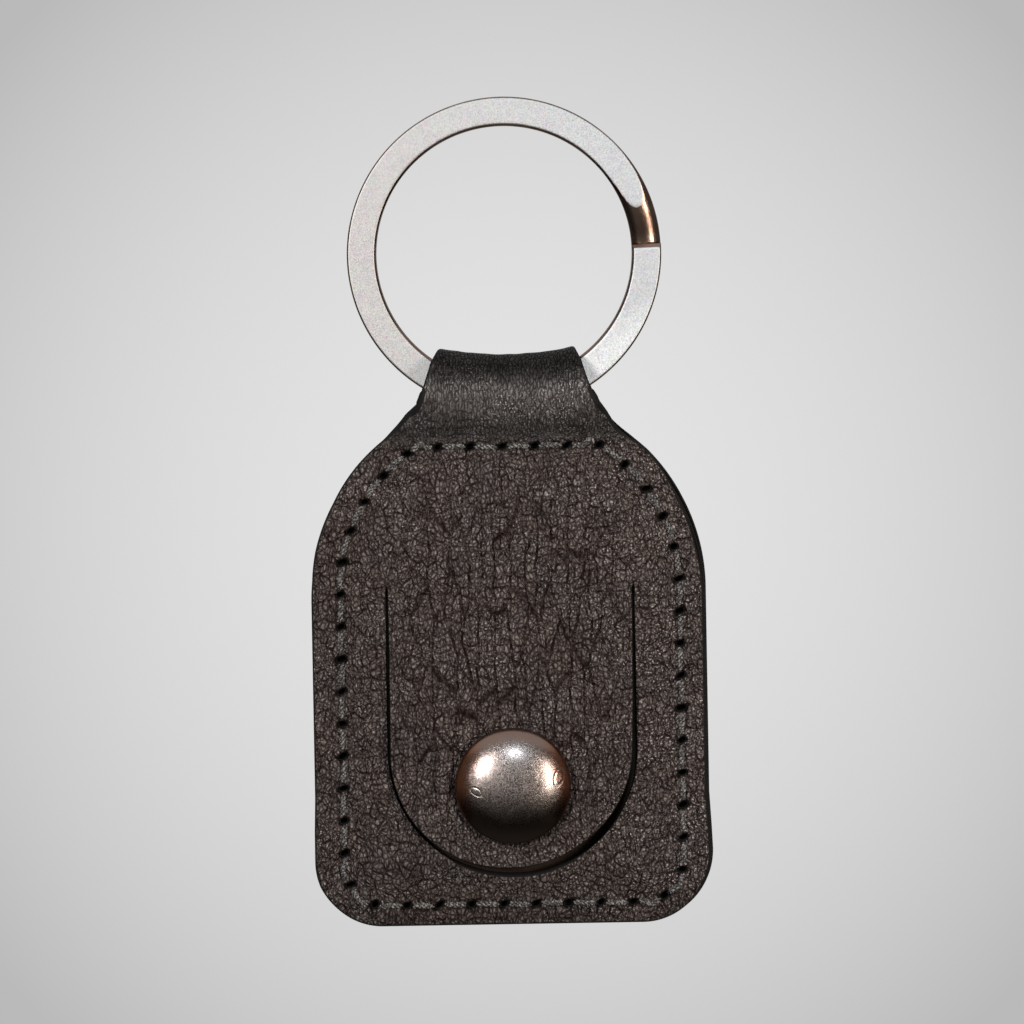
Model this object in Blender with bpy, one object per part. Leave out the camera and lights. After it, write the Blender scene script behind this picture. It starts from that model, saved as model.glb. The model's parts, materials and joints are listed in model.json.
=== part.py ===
# Coin holder keychain: a sewn leather pocket with a snap flap, hanging on a split ring.
# Metres. The front faces -Y, X runs to the right and Z up. The origin is the inside top of the
# split ring, where it hangs. "Forward" is the distance towards the viewer, which is -Y.
import math

import bmesh
import bpy
from mathutils import Vector
from mathutils.geometry import delaunay_2d_cdt

MM = 0.001

# Split ring
RING_OUTER_RADIUS = 16.0 * MM
RING_WIRE_WIDTH = 3.0 * MM
RING_WIRE_THICKNESS = 1.0 * MM
RING_WIRE_CHAMFER = 0.22 * MM
RING_TURN_GAP = 0.1 * MM
RING_FRONT_END_ANGLE = math.radians(3)
RING_JOG_START_ANGLE = math.radians(21)
RING_BACK_END_ANGLE = math.radians(24)

# Leather and its layers
LEATHER_THICKNESS = 1.1 * MM
LINING_THICKNESS = 1.0 * MM
LAYER_GAP = 0.25 * MM
COIN_RADIUS = 11.63 * MM
COIN_THICKNESS = 2.33 * MM
COIN_SIDE_PLAY = 0.4 * MM
COIN_PLAY = 1.07 * MM
SEAT_TO_STUD = 0.5 * MM

# Neck loop round the ring
LOOP_TOP_HALF_WIDTH = 7.1 * MM
TUNNEL_SLACK = 0.6 * MM
TUNNEL_PLAY = 0.8 * MM
TUNNEL_SAG = 0.85 * MM
RING_SEAT_GAP = 0.6 * MM
RING_SWING_GAP = 0.6 * MM
LOOP_TAPER = 5.65 * MM
LINING_TO_RING = 0.9 * MM

# Outline of the sewn body, seen from the front
BODY_HALF_WIDTH = 19.8 * MM
ARCH_RADIUS = 20.0 * MM
NECK_HALF_WIDTH = 7.6 * MM
NECK_FILLET = 9.0 * MM
SIDE_LENGTH = 27.3 * MM
CORNER_RADIUS = 6.6 * MM
LAYER_SHIFT = 0.2 * MM
LAYER_STEP = 1.0 * MM

# Seam
SEAM_INSET = 2.6 * MM
SEAM_BOTTOM_INSET = 2.1 * MM
SEAM_LAND = 0.6 * MM
SEAM_CORNER_ANGLE = math.radians(57)
STITCH_PITCH = 3.28 * MM
FIRST_STITCH = 2.75 * MM
THREAD_RADIUS = 0.24 * MM
THREAD_GAP = 0.06 * MM
STITCH_HALF_LENGTH = 0.42 * MM
SLOT_CLEARANCE = 0.12 * MM
RAMP_WIDTH = 3.9 * MM
BACK_RECESS = 0.1 * MM

# Flap and the window that it fills
WINDOW_HALF_WIDTH = 12.55 * MM
WINDOW_TO_BOTTOM = 5.1 * MM
FLAP_STRAIGHT = 16.2 * MM
FLAP_SIDE_GAP = 0.33 * MM
FLAP_END_GAP = 0.8 * MM
HINGE_GAP = 0.3 * MM
SNAP_TO_FLAP_END = 8.35 * MM

# Snap fastener
SNAP_GAP = 0.15 * MM
METAL_GAP = 0.1 * MM
CAP_RADIUS = 5.85 * MM
CAP_HEIGHT = 2.6 * MM
CAP_RIM = 0.5 * MM
CAP_WALL = 0.45 * MM
SHANK_RADIUS = 1.6 * MM
SHANK_BORE = 0.9 * MM
SHANK_FLARE_RADIUS = 2.4 * MM
SHANK_FLARE_THICKNESS = 0.25 * MM
SHANK_HOLE_CLEARANCE = 0.3 * MM
SOCKET_RADIUS = 4.6 * MM
SOCKET_BODY_RADIUS = 4.0 * MM
SOCKET_WALL = 0.3 * MM
SPRING_WIRE_RADIUS = 0.22 * MM
SPRING_OPENING = math.radians(40)
STUD_FLANGE_RADIUS = 4.8 * MM
STUD_FLANGE_THICKNESS = 0.35 * MM
STUD_HEIGHT = 1.35 * MM
STUD_BALL_RADIUS = 2.6 * MM
STUD_NECK_RADIUS = 2.2 * MM
POST_FLANGE_RADIUS = 4.3 * MM
POST_RADIUS = 1.2 * MM
POST_CLEARANCE = 0.15 * MM
POST_FLARE_RADIUS = 1.75 * MM
POST_FLARE_THICKNESS = 0.25 * MM

# How finely the round shapes are cut
RING_STEPS = 45
JOG_STEPS = 5
ROUND_STEPS = 24
LOOP_STEPS = 12
NECK_STEPS = 5
ARCH_STEPS = 8
CORNER_STEPS = 4
WINDOW_STEPS = 20
DOME_STEPS = 6
WIRE_SIDES = 6

# Colours, and how rough each surface is
DARK_BROWN = (0.030, 0.020, 0.016)
RAW_BROWN = (0.045, 0.028, 0.020)
DARK_GREY = (0.030, 0.028, 0.027)
PALE_STEEL = (0.72, 0.71, 0.70)
WARM_NICKEL = (0.55, 0.50, 0.46)
PLAIN_NICKEL = (0.60, 0.58, 0.55)
LEATHER_ROUGHNESS = 0.5
RAW_ROUGHNESS = 0.7
THREAD_ROUGHNESS = 0.6
SATIN_ROUGHNESS = 0.35
POLISHED_ROUGHNESS = 0.2

# Edges sharper than this stay sharp on round pieces
ROUND_EDGE = math.radians(35)

# Where the columns of the neck and the lines of the ramp stand, as shares of their widths
COLUMN_SHARES = (-1, -0.75, -0.5, -0.25, 0, 0.25, 0.5, 0.75, 1)
RAMP_SHARES = (0, 0.3, 0.5, 0.7, 1)

# Where the waist, the ball and the crown of the stud's head stand, as shares of its height
WAIST_SHARE = 0.25
BALL_SHARE = 0.5
CROWN_SHARE = 0.75

# Points this close are one point
WELD_DISTANCE = 0.001 * MM

# The kind of fill that keeps what lies inside the outline
FILL_INSIDE = 1

# Ring heights
RING_INNER_RADIUS = RING_OUTER_RADIUS - RING_WIRE_WIDTH
RING_CENTRE_Z = -RING_INNER_RADIUS
RING_HALF_STACK = RING_WIRE_THICKNESS + RING_TURN_GAP / 2

# Tunnel of the loop: its ends rest on the ring, and the ring swings inside it
TUNNEL_EDGE_HEIGHT = RING_WIRE_WIDTH + TUNNEL_SLACK
RING_DROP_AT_EDGE = math.sqrt(RING_INNER_RADIUS ** 2 - LOOP_TOP_HALF_WIDTH ** 2)
LOOP_AXIS_Z = RING_CENTRE_Z - RING_DROP_AT_EDGE + RING_SEAT_GAP - TUNNEL_EDGE_HEIGHT
LOOP_TOP_Z = LOOP_AXIS_Z + TUNNEL_EDGE_HEIGHT + LEATHER_THICKNESS
RING_REACH_BELOW = LOOP_AXIS_Z - (RING_CENTRE_Z - RING_OUTER_RADIUS)
RING_REACH_ABOVE = RING_CENTRE_Z - RING_INNER_RADIUS - LOOP_AXIS_Z
RING_SWEEP = math.hypot(max(RING_REACH_BELOW, RING_REACH_ABOVE), RING_HALF_STACK)
TUNNEL_HALF_DEPTH = RING_SWEEP + TUNNEL_PLAY
TUNNEL_EDGE_HALF_DEPTH = RING_SWING_GAP + math.hypot(TUNNEL_EDGE_HEIGHT - RING_SEAT_GAP, RING_HALF_STACK)
TUNNEL_HEIGHT = TUNNEL_EDGE_HEIGHT - TUNNEL_SAG

# Heights down the body
SEAM_TOP_Z = LOOP_AXIS_Z - LOOP_TAPER
TAPER_Z = SEAM_TOP_Z + SEAM_LAND
ARCH_Z = SEAM_TOP_Z - (ARCH_RADIUS - SEAM_INSET) * math.sin(SEAM_CORNER_ANGLE)
ARCH_OVER = ARCH_RADIUS - BODY_HALF_WIDTH
FILLET_RISE = math.sqrt((ARCH_RADIUS + NECK_FILLET) ** 2 - (NECK_HALF_WIDTH + NECK_FILLET + ARCH_OVER) ** 2)
CORNER_Z = ARCH_Z - SIDE_LENGTH
BODY_BOTTOM_Z = CORNER_Z - CORNER_RADIUS
LINING_TOP_Z = LOOP_AXIS_Z - RING_SWEEP - LINING_TO_RING
LINING_ARCH_Z = ARCH_Z - LAYER_STEP / 2
FRONT_ARCH_Z = ARCH_Z - LAYER_STEP
RAMP_START = SEAM_INSET + SEAM_LAND
SLOT_HALF_LENGTH = STITCH_HALF_LENGTH + THREAD_RADIUS + SLOT_CLEARANCE
SLOT_HALF_WIDTH = THREAD_RADIUS + SLOT_CLEARANCE

# Layers, as distances forward and back from the middle of the lining
PINCH = LINING_THICKNESS / 2 + LAYER_GAP
BACK_RISE = THREAD_GAP + 2 * THREAD_RADIUS + BACK_RECESS
FRONT_RISE = COIN_THICKNESS + COIN_PLAY - 2 * PINCH - BACK_RISE
PANEL_FORWARD = PINCH + FRONT_RISE + LEATHER_THICKNESS

# Flap
WINDOW_CENTRE_Z = BODY_BOTTOM_Z + WINDOW_TO_BOTTOM + WINDOW_HALF_WIDTH
HINGE_Z = WINDOW_CENTRE_Z + FLAP_STRAIGHT
FLAP_HALF_WIDTH = WINDOW_HALF_WIDTH - FLAP_SIDE_GAP
FLAP_END_RADIUS = WINDOW_HALF_WIDTH - FLAP_END_GAP
SNAP_Z = WINDOW_CENTRE_Z - FLAP_END_RADIUS + SNAP_TO_FLAP_END
FLAP_LEVEL_Z = SNAP_Z + CAP_RADIUS

# Snap, stacked forward from the lining
STUD_BASE = LINING_THICKNESS / 2 + SNAP_GAP
STUD_FLANGE_TOP = STUD_BASE + STUD_FLANGE_THICKNESS
STUD_TOP = STUD_FLANGE_TOP + STUD_HEIGHT
FLARE_BASE = STUD_TOP + SNAP_GAP
FLARE_TOP = FLARE_BASE + SHANK_FLARE_THICKNESS
SOCKET_BASE = STUD_FLANGE_TOP + SNAP_GAP
SOCKET_WEB_BASE = FLARE_TOP + METAL_GAP
SOCKET_TOP = SOCKET_WEB_BASE + SOCKET_WALL
FLAP_SNAP_INNER = SOCKET_TOP + SNAP_GAP
FLAP_RISE = FLAP_SNAP_INNER - PINCH - FRONT_RISE
CAP_BASE = FLAP_SNAP_INNER + LEATHER_THICKNESS + SNAP_GAP
SPRING_RADIUS = STUD_BALL_RADIUS + SNAP_GAP + SPRING_WIRE_RADIUS
SPRING_FORWARD = SOCKET_BASE + SOCKET_WALL + METAL_GAP + SPRING_WIRE_RADIUS
CHAMBER_RADIUS = SPRING_RADIUS + SPRING_WIRE_RADIUS + SNAP_GAP
MOUTH_RADIUS = STUD_BALL_RADIUS + SNAP_GAP + SPRING_WIRE_RADIUS
SHANK_HOLE_RADIUS = SHANK_RADIUS + SHANK_HOLE_CLEARANCE
STUD_BORE_RADIUS = POST_RADIUS + POST_CLEARANCE
POST_HOLE_RADIUS = POST_RADIUS + 2 * POST_CLEARANCE
POST_SEAT_RADIUS = POST_FLARE_RADIUS + POST_CLEARANCE
POST_SEAT_FORWARD = STUD_TOP - POST_FLARE_THICKNESS - 2 * METAL_GAP

# Coin seat in the lining, just above the stud
SEAT_RADIUS = COIN_RADIUS + COIN_SIDE_PLAY
SEAT_Z = SNAP_Z + STUD_FLANGE_RADIUS + SEAT_TO_STUD + SEAT_RADIUS


def clear_scene():
    for item in list(bpy.data.objects):
        bpy.data.objects.remove(item)


def finish(name, colour, roughness, metallic):
    material = bpy.data.materials.new(name)
    material.use_nodes = True
    shader = material.node_tree.nodes["Principled BSDF"]
    shader.inputs["Base Color"].default_value = (*colour, 1)
    shader.inputs["Roughness"].default_value = roughness
    shader.inputs["Metallic"].default_value = metallic
    return material


def leather(name):
    return finish(name, DARK_BROWN, LEATHER_ROUGHNESS, 0)


def raw_leather(name):
    return finish(name, RAW_BROWN, RAW_ROUGHNESS, 0)


def waxed_thread(name):
    return finish(name, DARK_GREY, THREAD_ROUGHNESS, 0)


def satin_steel(name):
    return finish(name, PALE_STEEL, SATIN_ROUGHNESS, 1)


def worn_nickel(name):
    return finish(name, WARM_NICKEL, POLISHED_ROUGHNESS, 1)


def plain_nickel(name):
    return finish(name, PLAIN_NICKEL, SATIN_ROUGHNESS, 1)


def new_axis(name, place):
    axis = bpy.data.objects.new(name, None)
    axis.location = place
    axis.empty_display_size = BODY_HALF_WIDTH
    bpy.context.scene.collection.objects.link(axis)
    return axis


def new_piece(name, shape, material, parent=None, smooth_angle=0):
    """Make an object whose origin is its parent's joint axis, from a shape in the part's frame."""
    origin = parent.location if parent else Vector()
    bmesh.ops.translate(shape, verts=shape.verts, vec=-origin)
    mesh = bpy.data.meshes.new(name)
    shape.to_mesh(mesh)
    shape.free()
    mesh.materials.append(material)
    if smooth_angle:
        mesh.shade_smooth()
        mesh.set_sharp_from_angle(angle=smooth_angle)
    piece = bpy.data.objects.new(name, mesh)
    piece.parent = parent
    bpy.context.scene.collection.objects.link(piece)
    return piece


def smooth_share(value):
    share = min(max(value, 0), 1)
    return share * share * (3 - 2 * share)


def arc(centre, radii, start, end, steps):
    """Points of an arc in the XZ plane, both ends included."""
    angles = [start + (end - start) * step / steps for step in range(steps + 1)]
    return [(centre[0] + radii[0] * math.cos(a), centre[1] + radii[1] * math.sin(a)) for a in angles]


def circle(centre, radius, steps=ROUND_STEPS):
    return arc(centre, (radius, radius), 0, math.tau, steps)[:-1]


def mirrored(points):
    return [(-x, z) for x, z in reversed(points)]


# Outline

def half_width(z, arch_z):
    """Half of the width that a leather layer has at a height."""
    fillet_z = arch_z + FILLET_RISE
    meeting_z = arch_z + FILLET_RISE * ARCH_RADIUS / (ARCH_RADIUS + NECK_FILLET)
    if z >= fillet_z:
        share = min((z - fillet_z) / (LOOP_TOP_Z - fillet_z), 1)
        return NECK_HALF_WIDTH + (LOOP_TOP_HALF_WIDTH - NECK_HALF_WIDTH) * share
    if z >= meeting_z:
        return NECK_HALF_WIDTH + NECK_FILLET - math.sqrt(NECK_FILLET ** 2 - (z - fillet_z) ** 2)
    if z >= arch_z:
        return math.sqrt(ARCH_RADIUS ** 2 - (z - arch_z) ** 2) - ARCH_OVER
    if z >= CORNER_Z:
        return BODY_HALF_WIDTH
    return BODY_HALF_WIDTH - CORNER_RADIUS + math.sqrt(max(CORNER_RADIUS ** 2 - (CORNER_Z - z) ** 2, 0))


def neck_levels():
    return [LOOP_AXIS_Z + (TAPER_Z - LOOP_AXIS_Z) * step / NECK_STEPS for step in range(NECK_STEPS + 1)]


def body_levels(top_z, arch_z):
    """Heights from below top_z to the bottom, close together round the corner."""
    arch = [top_z + (arch_z - top_z) * step / ARCH_STEPS for step in range(1, ARCH_STEPS + 1)]
    turns = [math.pi / 2 * step / CORNER_STEPS for step in range(CORNER_STEPS + 1)]
    return arch + [CORNER_Z - CORNER_RADIUS * math.sin(turn) for turn in turns]


def row(z, arch_z, shift):
    reach = half_width(z, arch_z)
    return [(shift + share * reach, z) for share in COLUMN_SHARES]


def outline(levels, arch_z, shift):
    """The closed edge of a layer: its top row, then down the right side and up the left."""
    right = [(half_width(z, arch_z), z) for z in levels[1:]]
    sides = right + mirrored(right)
    return row(levels[0], arch_z, shift) + [(x + shift, z) for x, z in sides]


def seam_loop(inset, bottom_inset):
    """A closed line inside the sewn edge, clockwise from the top middle."""
    radius = ARCH_RADIUS - inset
    top_z = SEAM_TOP_Z + SEAM_INSET - inset
    start = math.asin((top_z - ARCH_Z) / radius)
    right = arc((-ARCH_OVER, ARCH_Z), (radius, radius), start, 0, ARCH_STEPS)
    corner = (BODY_HALF_WIDTH - CORNER_RADIUS, CORNER_Z)
    radii = (CORNER_RADIUS - inset, CORNER_RADIUS - bottom_inset)
    if min(radii) > 0:
        right += arc(corner, radii, 0, -math.pi / 2, CORNER_STEPS)
    else:
        right.append((BODY_HALF_WIDTH - inset, BODY_BOTTOM_Z + bottom_inset))
    return right + mirrored(right)


def inside_distance(x, z):
    """How far in from the sewn edge a point lies."""
    across = abs(x)
    corner_x = BODY_HALF_WIDTH - CORNER_RADIUS
    if across > corner_x and z < CORNER_Z:
        return CORNER_RADIUS - math.hypot(across - corner_x, z - CORNER_Z)
    side = BODY_HALF_WIDTH - across
    if z > ARCH_Z:
        side = ARCH_RADIUS - math.hypot(across + ARCH_OVER, z - ARCH_Z)
    return min(side, z - BODY_BOTTOM_Z, SEAM_TOP_Z + SEAM_INSET - z)


# Stitches

def seam_stitches():
    """Middle and direction of each stitch slot, evenly spaced round the seam from the top middle."""
    corners = [Vector((0, SEAM_TOP_Z))]
    corners += [Vector(point) for point in seam_loop(SEAM_INSET, SEAM_BOTTOM_INSET)]
    corners.append(corners[0])
    lengths = [(b - a).length for a, b in zip(corners, corners[1:])]
    total = sum(lengths)
    count = round(total / STITCH_PITCH)
    stitches = []
    for number in range(count):
        left = (FIRST_STITCH + total * number / count) % total
        leg = 0
        while left > lengths[leg]:
            left -= lengths[leg]
            leg += 1
        along = (corners[leg + 1] - corners[leg]).normalized()
        stitches.append((corners[leg] + along * left, along))
    return stitches


def stitch_slots():
    slots = []
    for middle, along in seam_stitches():
        half = along * SLOT_HALF_LENGTH
        side = Vector((-along.y, along.x)) * SLOT_HALF_WIDTH
        slots.append([tuple(middle + a * half + b * side) for a, b in ((-1, -1), (1, -1), (1, 1), (-1, 1))])
    return slots


def in_slot(x, z, stitches):
    for middle, along in stitches:
        offset = Vector((x, z)) - middle
        if abs(offset.dot(along)) < SLOT_HALF_LENGTH and abs(along.cross(offset)) < SLOT_HALF_WIDTH:
            return True
    return False


def in_circle(x, z, centre, radius):
    return math.hypot(x - centre[0], z - centre[1]) < radius * math.cos(math.pi / ROUND_STEPS)


# Layers of leather, each a flat plan lifted into shape

def filled_plan(loops, chains, is_hole):
    """Triangles that fill the first loop and keep every other loop and chain as edges."""
    corners = []
    edges = []
    for points, closed in [(loop, True) for loop in loops] + [(chain, False) for chain in chains]:
        first = len(corners)
        corners += [Vector(point) / MM for point in points]
        last = len(corners) - 1
        edges += [(index, index + 1) for index in range(first, last)]
        if closed:
            edges.append((last, first))
    flat, _, triangles, *_ = delaunay_2d_cdt(corners, edges, [], FILL_INSIDE, WELD_DISTANCE / MM)
    plan = [(corner.x * MM, corner.y * MM) for corner in flat]
    kept = []
    for triangle in triangles:
        middle = [sum(plan[index][side] for index in triangle) / len(triangle) for side in (0, 1)]
        if not is_hole(*middle):
            kept.append(triangle)
    return plan, kept


def open_edges(triangles):
    """Edges that only one triangle has, in that triangle's direction."""
    directed = {pair for a, b, c in triangles for pair in ((a, b), (b, c), (c, a))}
    return [(a, b) for a, b in sorted(directed) if (b, a) not in directed]


def lift_layer(shape, plan, triangles, near, far, joined_z=None):
    """Two skins over a plan, walled on every open edge that isn't on the row to be joined."""
    used = sorted({index for triangle in triangles for index in triangle})
    near_skin = {i: shape.verts.new((plan[i][0], near(*plan[i]), plan[i][1])) for i in used}
    far_skin = {i: shape.verts.new((plan[i][0], far(*plan[i]), plan[i][1])) for i in used}
    for triangle in triangles:
        shape.faces.new([near_skin[index] for index in triangle])
        shape.faces.new([far_skin[index] for index in reversed(triangle)])
    row_ends = [i for i in used if joined_z is not None and abs(plan[i][1] - joined_z) < WELD_DISTANCE]
    for a, b in open_edges(triangles):
        if a in row_ends and b in row_ends:
            continue
        shape.faces.new((near_skin[b], near_skin[a], far_skin[a], far_skin[b]))
    row_ends.sort(key=lambda index: plan[index][0])
    return [near_skin[i] for i in row_ends], [far_skin[i] for i in row_ends]


def sheet_forward(x, z, rise):
    """Distance from the middle to the inner face of the front or back sheet."""
    if z > TAPER_Z:
        share = smooth_share((z - TAPER_Z) / (LOOP_AXIS_Z - TAPER_Z))
        return PINCH + (tunnel_depth(x) - PINCH) * share
    return PINCH + rise * smooth_share((inside_distance(x, z) - RAMP_START) / RAMP_WIDTH)


def tunnel_depth(x):
    share = (x / LOOP_TOP_HALF_WIDTH) ** 4
    return TUNNEL_HALF_DEPTH + (TUNNEL_EDGE_HALF_DEPTH - TUNNEL_HALF_DEPTH) * share


def tunnel_rise(x):
    share = (x / LOOP_TOP_HALF_WIDTH) ** 2
    return TUNNEL_HEIGHT + (TUNNEL_EDGE_HEIGHT - TUNNEL_HEIGHT) * share


def window_outline(half_side, end_radius, top_z):
    """A tongue shape: straight sides from top_z and a round end."""
    end = arc((0, WINDOW_CENTRE_Z), (half_side, end_radius), 0, -math.pi, WINDOW_STEPS)
    return [(-half_side, top_z), (half_side, top_z)] + end


def in_window(x, z):
    if z > WINDOW_CENTRE_Z:
        return abs(x) < WINDOW_HALF_WIDTH and z < HINGE_Z + HINGE_GAP / 2
    within = WINDOW_HALF_WIDTH * math.cos(math.pi / 2 / WINDOW_STEPS)
    return math.hypot(x, z - WINDOW_CENTRE_Z) < within


def sheet_plan(arch_z, shift, with_window):
    levels = neck_levels()
    loops = [outline(levels + body_levels(TAPER_Z, arch_z), arch_z, shift)]
    loops += [seam_loop(inset, inset) for inset in (RAMP_START + share * RAMP_WIDTH for share in RAMP_SHARES)]
    loops += stitch_slots()
    if with_window:
        loops.append(window_outline(WINDOW_HALF_WIDTH, WINDOW_HALF_WIDTH, HINGE_Z + HINGE_GAP / 2))
    chains = [row(z, arch_z, shift) for z in levels[1:]]
    stitches = seam_stitches()
    return filled_plan(
        loops, chains,
        lambda x, z: in_slot(x, z, stitches) or (with_window and in_window(x, z)))


def wrap_shape():
    """One strip: the front sheet, the loop over the ring and the back sheet."""
    shape = bmesh.new()
    front = lift_layer(
        shape, *sheet_plan(FRONT_ARCH_Z, -LAYER_SHIFT, True),
        lambda x, z: -sheet_forward(x, z, FRONT_RISE) - LEATHER_THICKNESS,
        lambda x, z: -sheet_forward(x, z, FRONT_RISE), LOOP_AXIS_Z)
    back = lift_layer(
        shape, *sheet_plan(ARCH_Z, LAYER_SHIFT, False),
        lambda x, z: sheet_forward(x, z, BACK_RISE) + LEATHER_THICKNESS,
        lambda x, z: sheet_forward(x, z, BACK_RISE), LOOP_AXIS_Z)
    rows = [front]
    for step in range(1, LOOP_STEPS):
        turn = math.pi * step / LOOP_STEPS
        rows.append(loop_row(shape, turn, step / LOOP_STEPS))
    rows.append(back)
    for (outer, inner), (next_outer, next_inner) in zip(rows, rows[1:]):
        for column in range(len(COLUMN_SHARES) - 1):
            pair = slice(column, column + 2)
            shape.faces.new(outer[pair] + next_outer[pair][::-1])
            shape.faces.new(inner[pair][::-1] + next_inner[pair])
        for end in (0, -1):
            shape.faces.new((outer[end], next_outer[end], next_inner[end], inner[end]))
    bmesh.ops.recalc_face_normals(shape, faces=shape.faces)
    return shape


def loop_row(shape, turn, share):
    """One row of the loop's outer and inner corners, a turn up from the front towards the back."""
    arch_z = FRONT_ARCH_Z + (ARCH_Z - FRONT_ARCH_Z) * share
    shift = -LAYER_SHIFT + 2 * LAYER_SHIFT * share
    height = LOOP_AXIS_Z + (TUNNEL_HEIGHT + LEATHER_THICKNESS) * math.sin(turn)
    outer = []
    inner = []
    for x, _ in row(height, arch_z, shift):
        for skin, thickness in ((outer, LEATHER_THICKNESS), (inner, 0)):
            forward = (tunnel_depth(x) + thickness) * math.cos(turn)
            up = (tunnel_rise(x) + thickness) * math.sin(turn)
            skin.append(shape.verts.new((x, -forward, LOOP_AXIS_Z + up)))
    return outer, inner


def lining_shape():
    """The flat middle layer, with the coin's seat, the post's hole and the stitch slots."""
    shape = bmesh.new()
    levels = [LINING_TOP_Z] + body_levels(LINING_TOP_Z, LINING_ARCH_Z)
    seat = (0, SEAT_Z)
    post = (0, SNAP_Z)
    stitches = seam_stitches()
    loops = [outline(levels, LINING_ARCH_Z, 0), circle(seat, SEAT_RADIUS), circle(post, POST_HOLE_RADIUS)]
    plan, triangles = filled_plan(
        loops + stitch_slots(), [],
        lambda x, z: in_slot(x, z, stitches) or in_circle(x, z, seat, SEAT_RADIUS)
        or in_circle(x, z, post, POST_HOLE_RADIUS))
    lift_layer(shape, plan, triangles, lambda x, z: -LINING_THICKNESS / 2, lambda x, z: LINING_THICKNESS / 2)
    bmesh.ops.recalc_face_normals(shape, faces=shape.faces)
    return shape


def flap_forward(z):
    """Inner face of the flap: level with the panel at the bend, proud of it and flat under the cap."""
    return PINCH + FRONT_RISE + FLAP_RISE * smooth_share((HINGE_Z - z) / (HINGE_Z - FLAP_LEVEL_Z))


def flap_shape():
    shape = bmesh.new()
    top_z = HINGE_Z - HINGE_GAP / 2
    snap = (0, SNAP_Z)
    loops = [window_outline(FLAP_HALF_WIDTH, FLAP_END_RADIUS, top_z), circle(snap, SHANK_HOLE_RADIUS)]
    heights = [HINGE_Z + (FLAP_LEVEL_Z - HINGE_Z) * step / NECK_STEPS for step in range(1, NECK_STEPS + 1)]
    chains = []
    for z in heights:
        reach = FLAP_HALF_WIDTH
        if z < WINDOW_CENTRE_Z:
            reach *= math.sqrt(1 - ((z - WINDOW_CENTRE_Z) / FLAP_END_RADIUS) ** 2)
        reach -= LEATHER_THICKNESS
        chains.append([(-reach, z), (reach, z)])
    plan, triangles = filled_plan(loops, chains, lambda x, z: in_circle(x, z, snap, SHANK_HOLE_RADIUS))
    lift_layer(
        shape, plan, triangles,
        lambda x, z: -flap_forward(z) - LEATHER_THICKNESS, lambda x, z: -flap_forward(z))
    bmesh.ops.recalc_face_normals(shape, faces=shape.faces)
    return shape


# Wires: the ring, the threads and the snap's spring

def swept_shape(sections, closed):
    """Join equal rings of points into a tube."""
    shape = bmesh.new()
    rings = [[shape.verts.new(point) for point in section] for section in sections]
    sides = len(rings[0])
    pairs = list(zip(rings, rings[1:]))
    if closed:
        pairs.append((rings[-1], rings[0]))
    for ring, following in pairs:
        for side in range(sides):
            after = (side + 1) % sides
            shape.faces.new((ring[side], ring[after], following[after], following[side]))
    if not closed:
        shape.faces.new(reversed(rings[0]))
        shape.faces.new(rings[-1])
    bmesh.ops.recalc_face_normals(shape, faces=shape.faces)
    return shape


def ring_section(angle, forward):
    """The chamfered flat wire, cut across at one place of its turn."""
    width = RING_WIRE_WIDTH / 2
    depth = RING_WIRE_THICKNESS / 2
    inner_width = width - RING_WIRE_CHAMFER
    inner_depth = depth - RING_WIRE_CHAMFER
    corner = ((inner_width, depth), (width, inner_depth), (width, -inner_depth), (inner_width, -depth))
    middle = RING_INNER_RADIUS + width
    points = []
    for out, front in corner + tuple((-out, front) for out, front in reversed(corner)):
        radius = middle + out
        points.append((radius * math.cos(angle), -forward - front, RING_CENTRE_Z + radius * math.sin(angle)))
    return points


def split_ring_shape():
    """Two turns of flat wire, clockwise from the front end, with a jog between front and back."""
    layer = (RING_WIRE_THICKNESS + RING_TURN_GAP) / 2
    jog = RING_JOG_START_ANGLE - RING_FRONT_END_ANGLE
    front_turn = math.tau - jog
    back_turn = math.tau - RING_BACK_END_ANGLE + RING_FRONT_END_ANGLE
    sections = []
    for step in range(RING_STEPS):
        sections.append(ring_section(RING_FRONT_END_ANGLE - front_turn * step / RING_STEPS, layer))
    for step in range(JOG_STEPS):
        share = step / JOG_STEPS
        forward = layer - 2 * layer * smooth_share(share)
        sections.append(ring_section(RING_JOG_START_ANGLE - jog * share, forward))
    for step in range(RING_STEPS + 1):
        sections.append(ring_section(RING_FRONT_END_ANGLE - back_turn * step / RING_STEPS, -layer))
    return swept_shape(sections, closed=False)


def thread_shape(side):
    """A closed line of stitches on one face: side is 1 on the front and -1 on the back."""
    surface = side * (PINCH + LEATHER_THICKNESS + THREAD_GAP + THREAD_RADIUS)
    knot = side * (THREAD_GAP + THREAD_RADIUS)
    leg = STITCH_HALF_LENGTH - THREAD_RADIUS / 2
    route = []
    across = []
    for middle, along in seam_stitches():
        stops = ((-STITCH_HALF_LENGTH, surface), (-leg, knot), (leg, knot), (STITCH_HALF_LENGTH, surface))
        for offset, forward in stops:
            place = middle + along * offset
            route.append(Vector((place.x, -forward, place.y)))
            across.append(Vector((-along.y, 0, along.x)))
    sections = []
    for index, place in enumerate(route):
        arriving = (place - route[index - 1]).normalized()
        leaving = (route[(index + 1) % len(route)] - place).normalized()
        heading = (arriving + leaving).normalized()
        beside = across[index] * THREAD_RADIUS
        above = heading.cross(across[index]).normalized() * THREAD_RADIUS / heading.dot(leaving)
        sections.append([place + beside, place + above, place - beside, place - above])
    return swept_shape(sections, closed=True)


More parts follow.
